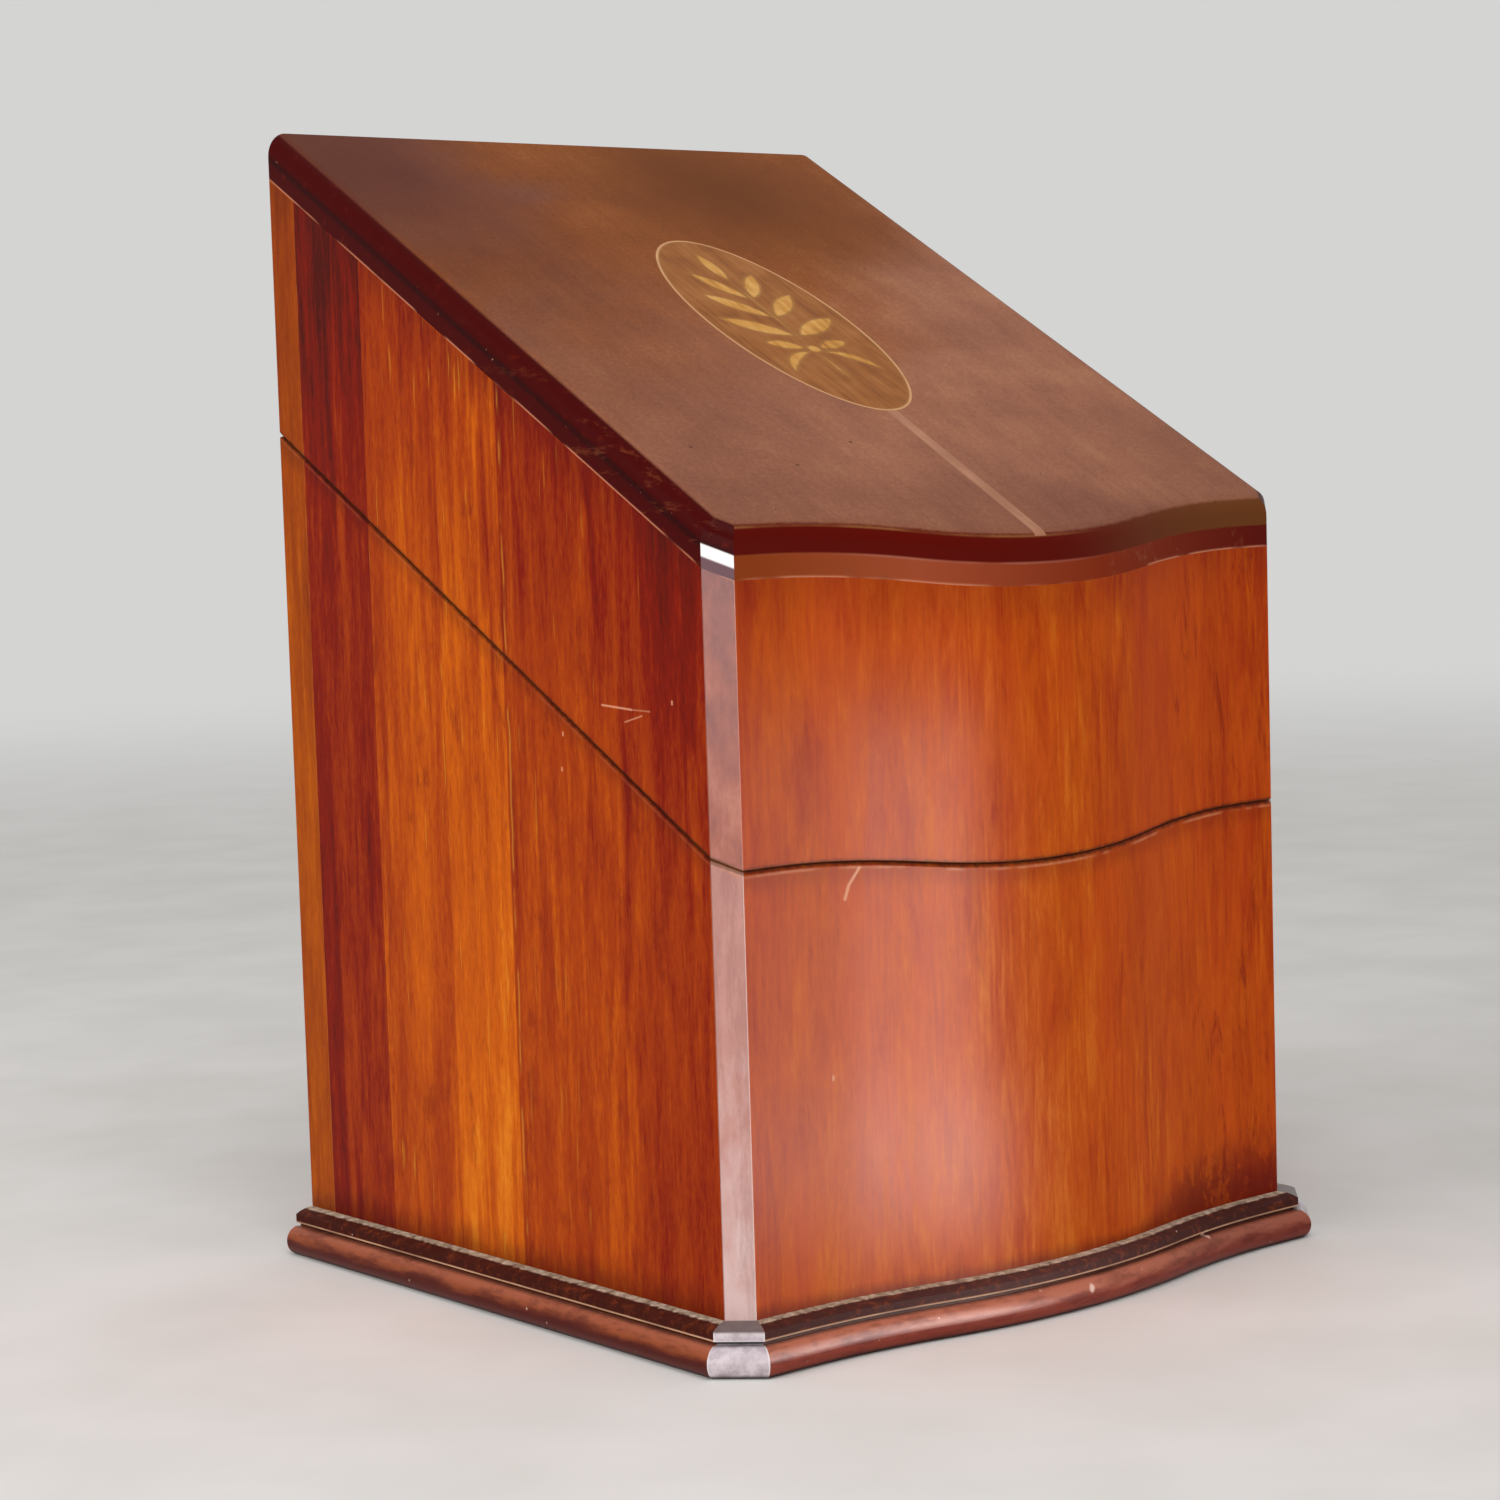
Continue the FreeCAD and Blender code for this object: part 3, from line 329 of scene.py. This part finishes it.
def front_veneer():
    """Orange-red figure, darker to the right, with the drip mark under the joint."""
    f = Finish("front_veneer", specular=0.04, coat=0.08, coat_roughness=0.36)
    grain, pores = upright_grain(f, shift=40, wander=1.4)
    across = f.ramp(f.spread(f.x, -HALF_WIDTH, HALF_WIDTH, 0.0, 1.0), [
        (0.0, 0.56), (0.10, 0.66), (0.45, 0.70), (0.62, 0.67), (0.80, 0.61), (1.0, 0.56)])
    right = f.rise(f.x, 0.035, 0.075)
    dirt_and_shade, height = grime_and_shade(f, f.add(3 * MM, f.times(right, 12 * MM)))
    # Painted shade: the front darkens upwards towards the slab.
    upper = f.spread(height, 0.0, SLAB_FOOT, 0.05, -0.05)
    smudges = f.noise((75, 75, 24), detail=5, roughness=0.68, distortion=0.6, shift=48)
    level = f.add(across, upper, f.times(f.add(smudges, -0.5), 0.50))
    colour = polished(f, level, grain, pores, contrast=0.95)
    colour = f.mix(0.24, colour, "#c22a00")
    rosy = f.rise(f.noise((42, 42, 10), detail=3, roughness=0.6, distortion=1.0, shift=44), 0.42, 0.66)
    colour = f.mix(f.times(rosy, 0.30), colour, "#cc4a0c")
    reds = f.rise(f.noise((170, 170, 30), detail=4, roughness=0.7, distortion=0.6, shift=46), 0.56, 0.72)
    colour = f.mix(f.times(reds, f.add(0.25, f.times(right, 0.35))), colour, "#801400")
    # Darker along the foot and by the joint, with painted shade under the slab.
    colour = f.mix(f.times(dirt_and_shade, 0.90), colour, "#5a0500")
    smoke = f.noise((120, 120, 75), detail=5, roughness=0.72, shift=49)
    low = f.rise(f.z, PLINTH_TOP + 26 * MM, PLINTH_TOP + 2 * MM)
    stain = f.times(right, low, f.rise(f.add(smoke, f.times(low, 0.12)), 0.52, 0.60))
    colour = f.mix(f.times(stain, 0.70), colour, "#6a0c00")
    colour = worn_joint(f, height, colour)
    colour = f.mix(f.times(f.marks(1, FRONT_MARKS), 0.65), colour, "#f2b48c")
    colour = f.mix(f.times(rubbed_arrises(f, 0.5 * MM), 0.35), colour, "#c4642c")
    outer = f.rise(f.ny, -0.4, -0.6)
    dull = f.add(f.rise(f.x, -0.060, -0.085), f.times(f.rise(grain, 0.45, 0.60), 0.3))
    roughness = f.add(0.26, f.times(grain, 0.14), f.times(dirt_and_shade, 0.12), f.times(dull, 0.30))
    colour, roughness = raw_inside(f, outer, colour, roughness)
    return f.finish(colour, roughness, f.add(grain, f.times(pores, -0.5)), bump=0.08)


def corner_veneer():
    """Canted corners: a pale pinkish grey that is partly rubbed wood and partly painted reflection,
    dusty mauve on the lid and palest near the foot.
    """
    f = Finish("corner_veneer", specular=0.30, coat=0.3, coat_roughness=0.20)
    grain, pores = upright_grain(f, shift=80)
    cloud = f.noise((150, 150, 70), detail=4, roughness=0.65, shift=9)
    height = f.slope_height()
    # Painted reflection: the case part grows paler towards the foot, and the lid part stays a darker
    # mauve.
    lower = f.add(f.spread(height, 0.02, JOINT, 1.0, 0.58), f.times(f.add(cloud, -0.5), 0.5))
    case = f.ramp(lower, [(0.5, "#ac746a"), (0.77, "#c08a80"), (1.0, "#d4b4b0")])
    upper = f.add(f.spread(height, JOINT, SLAB_FOOT, 0.70, 0.35), f.times(f.add(cloud, -0.5), 1.3))
    lid = f.ramp(upper, [(0.0, "#5e2620"), (0.35, "#84463e"), (0.65, "#a45c4a"), (1.0, "#c07c68")])
    colour = f.mix(f.rise(height, JOINT + 1 * MM, JOINT), lid, case)
    colour = f.mix(f.times(f.rise(grain, 0.55, 0.40), 0.25), colour, "#7c4038")
    colour = worn_joint(f, height, colour)
    # Painted highlight on one arris of the cant and painted shade on the other, paler on the case than
    # on the lid.
    arris = f.rise(f.edges(0.6 * MM), 0.2, 0.8)
    front_side = f.rise(f.add(f.math("ABSOLUTE", f.x), f.y), 0.0154, 0.0134)
    arris_light_and_shade = f.mix(f.rise(height, JOINT + 1 * MM, JOINT), "#d08a74", "#f0dcd4")
    arris_light_and_shade = f.mix(front_side, "#5c2420", arris_light_and_shade)
    colour = f.mix(f.times(arris, 0.75), colour, arris_light_and_shade)
    outer = f.rise(f.slant(), 1.1, 1.3)
    roughness = f.add(0.26, f.times(cloud, 0.20))
    colour, roughness = raw_inside(f, outer, colour, roughness)
    return f.finish(colour, roughness, f.add(grain, f.times(pores, -0.4)), bump=0.08)


def top_veneer():
    """Slab: satin rose-brown top with cloudy tone, its rose partly a painted reflection, dark red edges
    with wear and pale lines, and painted highlights on the front round-over and at the cants.
    """
    f = Finish("top_veneer", specular=0.04, coat=0.02, coat_roughness=0.26)
    up = f.add(f.times(f.nz, math.cos(SLOPE)), f.times(f.ny, -math.sin(SLOPE)))
    down = f.add(f.times(f.ny, -math.cos(SLOPE)), f.times(f.nz, -math.sin(SLOPE)))
    beside = f.math("ABSOLUTE", f.nx)
    top = f.rise(up, 0.90, 0.97)
    height = f.slope_height()
    cloud = f.noise((11, 11, 11), detail=3, roughness=0.55, distortion=0.8, shift=12)
    mottle = f.noise((60, 45, 45), detail=4, roughness=0.6, shift=19)
    streak = f.noise((300, 12, 20), detail=3, roughness=0.55, distortion=0.4, shift=13)
    fine = f.noise((1000, 700, 800), detail=3, roughness=0.6, shift=14)
    value = f.add(
        0.08, f.times(cloud, 0.30), f.times(mottle, 0.20), f.times(streak, 0.09), f.times(fine, 0.25))
    brown = f.ramp(value, [(0.36, "#6a3612"), (0.46, "#85471d"), (0.54, "#945224"), (0.64, "#a96a38")])
    rose = f.ramp(value, [(0.36, "#82503c"), (0.46, "#945f49"), (0.54, "#a36a50"), (0.64, "#b57f5e")])
    drift = f.times(f.add(cloud, -0.5), 0.12)
    low = f.rise(f.add(f.y, drift), 0.055, -0.060)
    far_left = f.times(f.rise(f.add(f.x, drift), -0.030, -0.080), f.rise(f.y, 0.02, 0.09))
    right = f.rise(f.add(f.x, f.times(f.y, -0.9), drift), 0.02, 0.075)
    # The rose tone towards the front, the far left and the right is partly the wood's colour and partly
    # a painted reflection.
    colour = f.mix(f.math("MAXIMUM", f.math("MAXIMUM", low, far_left), right), brown, rose)
    deep = f.times(f.near(f.x, 0.045, 0.085), f.near(f.y, 0.085, 0.075), 0.9)
    colour = f.mix(deep, colour, "#683304")
    faint = f.times(drift, 0.3)
    up_slope = f.add(0.30, f.times(f.rise(f.y, 0.0, 0.09), 0.55))
    left = f.times(f.rise(f.add(f.x, faint), -0.005, -0.085), up_slope)
    corner = f.times(f.rise(f.add(f.x, faint), 0.020, 0.120), f.rise(f.y, -0.010, -0.100), 0.40)
    lip = f.times(f.rise(f.y, -0.070, -0.106), 0.35)
    shaded = f.math("MAXIMUM", f.math("MAXIMUM", left, corner), lip)
    colour = f.mix(shaded, colour, "#521e12")
    specks = f.rise(f.noise((330, 330, 330), detail=1, shift=15), 0.80, 0.83)
    specks = f.math("MAXIMUM", specks, f.marks(2, TOP_SPECKS))
    colour = f.mix(f.times(specks, 0.7), colour, "#3f1a10")
    worn = f.noise((160, 160, 160), detail=4, roughness=0.7, shift=17)
    flat = f.rise(height, ROUND_FOOT + 0.4 * MM, ROUND_FOOT - 0.2 * MM)
    round_over = f.math("SUBTRACT", 1.0, flat)
    chips = f.rise(f.noise((420, 420, 420), detail=2, roughness=0.6, shift=18), 0.70, 0.75)
    line = f.near(height, ROUND_FOOT, 2.2 * MM)
    side_tone = f.mix(f.rise(worn, 0.56, 0.84), "#400201", "#641808")
    side_tone = f.mix(f.times(line, 0.6), side_tone, "#180202")
    scuffs = f.rise(f.noise((260, 60, 260), detail=4, roughness=0.7, shift=22), 0.55, 0.70)
    side_tone = f.mix(f.times(scuffs, f.rise(f.y, 0.03, -0.06), 0.5), side_tone, "#7a3a20")
    side_tone = f.mix(f.times(chips, line, 0.6), side_tone, "#c88a70")
    to_right = f.rise(f.x, 0.0, 0.09)
    flat_tone = f.ramp(f.spread(f.x, -HALF_WIDTH, HALF_WIDTH, 0.0, 1.0), [
        (0.05, "#8c3c10"), (0.30, "#a04a2c"), (0.60, "#862c0c"), (0.95, "#5c0e04")])
    flat_tone = f.mix(f.rise(worn, 0.54, 0.80), flat_tone, "#8a4a2c")
    round_tone = f.mix(to_right, "#5c0800", "#6a3a18")
    front_tone = f.mix(round_over, flat_tone, round_tone)
    broken = f.rise(f.noise((40, 40, 40), detail=2, shift=33), 0.25, 0.60)
    meeting = f.times(f.near(height, ROUND_FOOT - 0.1 * MM, 0.6 * MM), broken, f.near(f.x, -0.03, 0.08))
    front_tone = f.mix(f.times(meeting, 0.45), front_tone, "#b87a6a")
    # Painted highlight along the top of the round-over, on the left of the front.
    brow_highlight = f.times(f.near(height, SLAB_TOP - 0.9 * MM, 0.4 * MM), broken, f.rise(f.x, 0.03, -0.01))
    front_tone = f.mix(f.times(brow_highlight, 0.50), front_tone, "#a87040")
    front = f.rise(f.math("SUBTRACT", down, beside), -0.02, 0.08)
    edge_tone = f.mix(front, side_tone, front_tone)
    breaks = f.rise(f.noise((50, 50, 50), detail=1, shift=3), 0.42, 0.55)
    foot = f.times(f.near(height, SLAB_FOOT, 0.8 * MM), breaks)
    edge_tone = f.mix(f.times(foot, 0.75), edge_tone, "#d88a6a")
    # Painted highlight: white on the flat of the slab at the cants, with a dark mauve band below it.
    cant = f.times(f.rise(f.slant(), 1.25, 1.35), flat)
    cant_highlight = f.mix(f.rise(height, SLAB_FOOT + 2.8 * MM, SLAB_FOOT + 3.6 * MM), "#6d5258", "#fbf6f4")
    edge_tone = f.mix(cant, edge_tone, cant_highlight)
    colour = f.mix(top, edge_tone, colour)
    roughness = f.add(f.times(top, 0.10), 0.32, f.times(cloud, 0.12))
    colour, roughness = raw_inside(f, f.rise(up, -0.8, -0.6), colour, roughness, (420, 16, 26))
    return f.finish(colour, roughness, f.add(streak, f.times(worn, 0.4)), bump=0.06)


def inlay(name, tones, along, dark_edge, specular=0.05):
    """Light wood let into the top, with fine grain and scorched or dirty edges."""
    f = Finish(name, specular=specular, coat=0.06, coat_roughness=0.25)
    grain = f.noise(along, detail=3, roughness=0.6, shift=50)
    cloud = f.noise((90, 90, 90), detail=2, shift=51)
    colour = f.ramp(f.add(f.times(grain, 0.6), f.times(cloud, 0.4)), tones)
    colour = f.mix(f.times(f.edges(1.6 * MM), 0.8), colour, dark_edge)
    return f.finish(colour, f.add(0.36, f.times(grain, 0.15)), grain, bump=0.08)


def plinth_wood():
    """Moulding: dusty line by the case, dark thumb with painted shade in its hollow, light fillet edge,
    painted shade in the quirk and under the foot, and a red-brown bullnose with painted light on its
    upper half and a painted sheen on its front.
    """
    f = Finish("plinth_wood", specular=0.12, coat=0.05, coat_roughness=0.30)
    run = f.noise((55, 55, 260), detail=3, roughness=0.6, shift=60)
    fine = f.noise((260, 260, 900), detail=3, roughness=0.6, shift=61)
    wear = f.noise((320, 320, 320), detail=4, roughness=0.7, shift=62)
    side = f.math("ABSOLUTE", f.nx)
    # Painted light and shade: the upper half of the bullnose is lighter and the lower half darker, and
    # the front is lighter than the sides as a painted sheen.
    bullnose_lit = f.rise(f.add(f.z, f.times(f.add(run, -0.5), 6 * MM)), 3.8 * MM, 7.2 * MM)
    under = f.mix(side, "#923e2e", "#4a0c04")
    over = f.mix(side, "#b86c54", "#8a4220")
    body = f.mix(bullnose_lit, under, over)
    body = f.mix(f.times(f.rise(f.x, 0.0, 0.11), f.rise(side, 0.6, 0.3), 0.45), body, "#5c1a12")
    tone = f.add(f.times(run, 0.6), f.times(fine, 0.4))
    body = f.mix(f.times(f.rise(tone, 0.56, 0.36), 0.45), body, "#4a160c")
    ragged = f.times(f.add(wear, -0.5), 0.35 * MM)
    dust = f.rise(f.add(f.z, ragged), PLINTH_TOP - 0.38 * MM, PLINTH_TOP - 0.18 * MM)
    rubbed = f.ramp(wear, [(0.30, "#6a5040"), (0.45, "#a08a74"), (0.58, "#c4b09a"), (0.75, "#e0d2c0")])
    # Painted shade: the thumb above the ledge is dark, as in its hollow.
    ledge = f.rise(f.z, LEDGE - 0.4 * MM, LEDGE + 0.4 * MM)
    colour = f.mix(f.times(ledge, 0.96), body, f.mix(f.rise(wear, 0.48, 0.75), "#340600", "#6c2c0e"))
    colour = f.mix(f.times(dust, 0.9), colour, rubbed)
    rim = f.rise(f.near(f.z, LEDGE + 0.05 * MM, 0.65 * MM), 0.0, 0.7)
    colour = f.mix(f.times(rim, f.spread(run, 0.35, 0.60, 0.55, 1.0)), colour, "#c89c7c")
    # Painted shade: the quirk under the ledge is near black.
    quirk = f.near(f.z, QUIRK, 0.9 * MM)
    colour = f.mix(f.times(quirk, 0.9), colour, "#0c0403")
    # Painted shade: darkest at the foot, under the bullnose.
    foot = f.rise(f.z, 2.0 * MM, 0.4 * MM)
    colour = f.mix(f.times(foot, 0.8), colour, "#140504")
    chips = f.times(f.rise(f.noise((420, 420, 420), detail=1, shift=63), 0.78, 0.81), 0.7)
    chips = f.math("MAXIMUM", chips, f.marks(1, PLINTH_CHIPS))
    colour = f.mix(f.times(chips, 0.85), colour, "#f0cebc")
    roughness = f.add(0.30, f.times(wear, 0.14), f.times(ledge, 0.45))
    return f.finish(colour, roughness, f.add(fine, f.times(wear, 0.6)), bump=0.12)


def plinth_corner():
    """Canted corners of the moulding: a pale lilac grey that is painted reflection, a painted white
    highlight at the arrises, and painted shade in the quirk and at the foot.
    """
    f = Finish("plinth_corner", specular=0.25, coat=0.05, coat_roughness=0.25)
    cloud = f.noise((200, 200, 200), detail=4, roughness=0.65, shift=66)
    # Painted reflection: pale lilac grey over the whole cant.
    colour = f.ramp(cloud, [(0.35, "#a99aa0"), (0.50, "#c3b6bc"), (0.65, "#d8ced2")])
    # Painted highlight: white along the arrises.
    colour = f.mix(f.times(f.edges(0.7 * MM), 0.7), colour, "#f6f0ee")
    thumb = f.rise(f.z, PLINTH_TOP - 2.2 * MM, PLINTH_TOP - 1.4 * MM)
    colour = f.mix(f.times(thumb, 0.85), colour, "#4a342c")
    # Painted shade: the quirk is near black.
    quirk = f.near(f.z, QUIRK, 0.9 * MM)
    colour = f.mix(f.times(quirk, 0.95), colour, "#0c0706")
    # Painted shade: dark at the foot, under the bullnose.
    foot = f.rise(f.z, 1.6 * MM, 0.4 * MM)
    colour = f.mix(f.times(foot, 0.8), colour, "#1a0c0a")
    return f.finish(colour, f.add(0.30, f.times(cloud, 0.2)), cloud, bump=0.08)


def back_wood():
    """Back board: plain boards, amber at its edge."""
    f = Finish("back_wood", specular=0.05, coat=0.05, coat_roughness=0.14)
    grain, pores = upright_grain(f, shift=160, wander=0.5)
    dirt_and_shade, height = grime_and_shade(f, 5 * MM)
    # Painted shade: the back darkens upwards towards the slab.
    level = f.add(0.47, f.spread(height, 0.0, SLAB_FOOT, 0.06, -0.12))
    colour = polished(f, level, grain, pores, contrast=1.5)
    colour = f.mix(0.40, colour, "#854400")
    # Darker along the foot and by the joint, with painted shade under the slab.
    colour = f.mix(f.times(dirt_and_shade, 0.8), colour, "#3a0a02")
    colour = worn_joint(f, height, colour, paleness=0.2)
    colour = f.mix(f.times(rubbed_arrises(f, 0.6 * MM), 0.4), colour, "#c87a3c")
    inner = f.rise(f.ny, -0.4, -0.6)
    roughness = f.add(0.34, f.times(grain, 0.16))
    colour, roughness = raw_inside(f, f.math("SUBTRACT", 1.0, inner), colour, roughness)
    return f.finish(colour, roughness, f.add(grain, f.times(pores, -0.5)), bump=0.12)


def rack_wood():
    """Fitted rack: dry satin mahogany, rubbed at the slots and dark with dust in patches."""
    f = Finish("rack_wood", specular=0.25)
    run = f.noise((10, 320, 320), detail=3, roughness=0.6, distortion=0.3, shift=70)
    fine = f.noise((60, 1300, 1300), detail=2, shift=71)
    value = f.add(f.times(run, 0.65), f.times(fine, 0.35))
    colour = f.ramp(value, [(0.32, "#4a1f10"), (0.48, "#6f3820"), (0.60, "#8a4f2e"), (0.74, "#a26a42")])
    rubbed = f.times(f.edges(0.8 * MM), f.rise(f.noise((150, 150, 150), detail=2, shift=72), 0.35, 0.6))
    colour = f.mix(f.times(rubbed, 0.55), colour, "#c79a6c")
    dust = f.rise(f.noise((45, 45, 45), detail=3, shift=73), 0.45, 0.7)
    colour = f.mix(f.times(dust, 0.25), colour, "#34190f")
    return f.finish(colour, f.add(0.48, f.times(value, 0.2)), value, bump=0.12)


def base_wood():
    """Bottom board: unfinished deal gone brown and grimy."""
    f = Finish("base_wood", specular=0.2)
    run = f.noise((9, 210, 210), detail=4, roughness=0.6, distortion=0.5, shift=90)
    stain = f.noise((22, 22, 22), detail=4, roughness=0.6, shift=91)
    colour = f.ramp(run, [(0.30, "#4e2e18"), (0.50, "#6e4626"), (0.70, "#876038")])
    colour = f.mix(f.times(f.rise(stain, 0.42, 0.66), 0.6), colour, "#2c180e")
    return f.finish(colour, f.add(0.62, f.times(run, 0.2)), run, bump=0.25)


def brass():
    """Old brass: yellow where rubbed, patchy brown, finely scratched."""
    f = Finish("brass", specular=0.5, metallic=1.0)
    cloud = f.noise((260, 260, 260), detail=4, roughness=0.6, shift=95)
    lines = f.noise((40, 2400, 2400), detail=2, shift=96)
    colour = f.ramp(cloud, [(0.30, "#6a4a1e"), (0.48, "#a07a38"), (0.62, "#c49c52"), (0.78, "#d9b872")])
    rubbed = f.edges(0.4 * MM)
    colour = f.mix(f.times(rubbed, 0.5), colour, "#e6cb8e")
    roughness = f.add(0.26, f.times(cloud, 0.3), f.times(lines, 0.08))
    return f.finish(colour, roughness, f.add(lines, f.times(cloud, 0.5)), bump=0.10, depth=0.1 * MM)


FINISHES = {
    "side_veneer": side_veneer(),
    "front_veneer": front_veneer(),
    "corner_veneer": corner_veneer(),
    "top_veneer": top_veneer(),
    "plinth_wood": plinth_wood(),
    "back_wood": back_wood(),
    "rack_wood": rack_wood(),
    "base_wood": base_wood(),
    "oval_wood": inlay("oval_wood", [
        (0.38, "#894e1a"), (0.5, "#9a5c26"), (0.62, "#a86a34")], (400, 30, 50), "#a06a34"),
    "stringing_wood": inlay("stringing_wood", [
        (0.35, "#c08a5c"), (0.5, "#d09c6c"), (0.65, "#dcac7c")], (300, 40, 60), "#c89464"),
    "leaf_wood": inlay("leaf_wood", [
        (0.32, "#a86c24"), (0.48, "#cc9040"), (0.64, "#e0ac60")], (420, 60, 100), "#7c4414"),
    "brass": brass(),
}

CORNER_MOULDING = plinth_corner()
FADED_LINE = inlay("centre_line", [
    (0.35, "#a06c50"), (0.5, "#ae785c"), (0.65, "#bc8668")], (300, 40, 60), "#a87256")
SPECIAL = {
    "plinth_corner_left": CORNER_MOULDING,
    "plinth_corner_right": CORNER_MOULDING,
    "centre_stringing": FADED_LINE,
}

for name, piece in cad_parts.items():
    for slot in piece.material_slots:
        slot.material = SPECIAL.get(name) or FINISHES[slot.material.name]


def place_camera():
    """Camera fitted to the corners and the joint lines of the photographed box."""
    data = bpy.data.cameras.new("view")
    data.lens = LENS
    data.sensor_width = SENSOR
    camera = bpy.data.objects.new("view", data)
    turn = Matrix.Rotation(math.radians(CAMERA_TURN), 4, "Z")
    tilt = Matrix.Rotation(math.radians(CAMERA_TILT), 4, "X")
    roll = Matrix.Rotation(math.radians(CAMERA_ROLL), 4, "Z")
    camera.matrix_world = Matrix.Translation(CAMERA_PLACE) @ turn @ tilt @ roll
    scene.collection.objects.link(camera)
    scene.camera = camera


def only_the_box():
    """The pieces alone, for a low lamp that would burn a white patch on the floor."""
    pieces = bpy.data.collections.new("box_pieces")
    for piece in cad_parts.values():
        pieces.objects.link(piece)
    return pieces


def soft_lamp(name, place, target, size, power, card=False, lit=None):
    """Rectangular lamp at a place, turned to a target. A card is only mirrored in the polish."""
    data = bpy.data.lights.new(name, "AREA")
    data.shape = "RECTANGLE"
    data.size, data.size_y = size
    data.energy = power
    lamp = bpy.data.objects.new(name, data)
    aim = [t - p for t, p in zip(target, place)]
    yaw = math.atan2(aim[1], aim[0]) - math.pi / 2
    pitch = math.atan2(aim[2], math.hypot(aim[0], aim[1])) + math.pi / 2
    lamp.matrix_world = (
        Matrix.Translation(place) @ Matrix.Rotation(yaw, 4, "Z") @ Matrix.Rotation(pitch, 4, "X"))
    lamp.visible_camera = False
    lamp.visible_diffuse = not card
    if lit:
        lamp.light_linking.receiver_collection = lit
    scene.collection.objects.link(lamp)


def pale_floor():
    """Wide pale floor that fades into the backdrop with distance from the box."""
    bpy.ops.mesh.primitive_circle_add(vertices=96, radius=14.0, fill_type="NGON")
    floor = bpy.context.object
    floor.name = "floor"
    f = Finish("floor_paint", specular=0.0)
    grain = f.noise((14, 14, 14), detail=3)
    colour = f.ramp(grain, [(0.35, "#e6e5e2"), (0.65, "#edecea")])
    f.finish(colour, f.add(0.5, f.times(grain, 0.2)))
    reach = f.node("ShaderNodeVectorMath", {0: f.place}, operation="LENGTH").outputs["Value"]
    rays = f.node("ShaderNodeLightPath").outputs
    seen = f.add(rays["Is Camera Ray"], rays["Is Glossy Ray"], rays["Is Transmission Ray"])
    far = f.times(f.rise(reach, 0.7, 2.6), f.math("MINIMUM", seen, 1.0))
    backdrop = f.node("ShaderNodeEmission", {"Color": shade(BACKDROP), "Strength": 1.0})
    blend = f.node("ShaderNodeMixShader", {0: far, 1: f.shader.outputs[0], 2: backdrop.outputs[0]})
    output = f.tree.nodes["Material Output"]
    f.tree.links.new(blend.outputs[0], output.inputs["Surface"])
    floor.data.materials.append(f.material)


def soft_world():
    """Even soft light, with the backdrop's colour where it is seen or mirrored."""
    world = bpy.data.worlds.new("studio")
    scene.world = world
    world.use_nodes = True
    tree = world.node_tree
    light = tree.nodes["Background"]
    light.inputs["Color"].default_value = (1.0, 0.98, 0.96, 1.0)
    light.inputs["Strength"].default_value = 0.45
    seen = tree.nodes.new("ShaderNodeBackground")
    seen.inputs["Color"].default_value = shade(BACKDROP)
    rays = tree.nodes.new("ShaderNodeLightPath").outputs
    first = tree.nodes.new("ShaderNodeMath")
    first.operation = "ADD"
    second = tree.nodes.new("ShaderNodeMath")
    second.operation = "ADD"
    second.use_clamp = True
    tree.links.new(rays["Is Camera Ray"], first.inputs[0])
    tree.links.new(rays["Is Glossy Ray"], first.inputs[1])
    tree.links.new(first.outputs[0], second.inputs[0])
    tree.links.new(rays["Is Transmission Ray"], second.inputs[1])
    blend = tree.nodes.new("ShaderNodeMixShader")
    tree.links.new(second.outputs[0], blend.inputs[0])
    tree.links.new(light.outputs[0], blend.inputs[1])
    tree.links.new(seen.outputs[0], blend.inputs[2])
    tree.links.new(blend.outputs[0], tree.nodes["World Output"].inputs["Surface"])


place_camera()
pale_floor()
soft_world()
soft_lamp("sheen_foot", (-0.006, -0.200, 0.022), (-0.006, -0.1, 0.022), (0.090, 0.042), 0.26, card=True)
soft_lamp("sheen_tall", (-0.006, -0.200, 0.090), (-0.006, -0.1, 0.090), (0.045, 0.15), 0.46, card=True)
soft_lamp(
    "sheen_corner", (-1.15, -1.05, 0.30), (-0.1, -0.1, 0.12), (0.40, 0.56), 4.0, lit=only_the_box())
soft_lamp("key_left", (-1.7, 0.1, 0.9), (0.0, 0.0, 0.15), (1.0, 1.0), 13.0)
soft_lamp("overhead", (-0.5, -1.0, 1.9), (0.0, 0.0, 0.2), (1.3, 1.3), 14.0)
scene.view_settings.view_transform = "Standard"
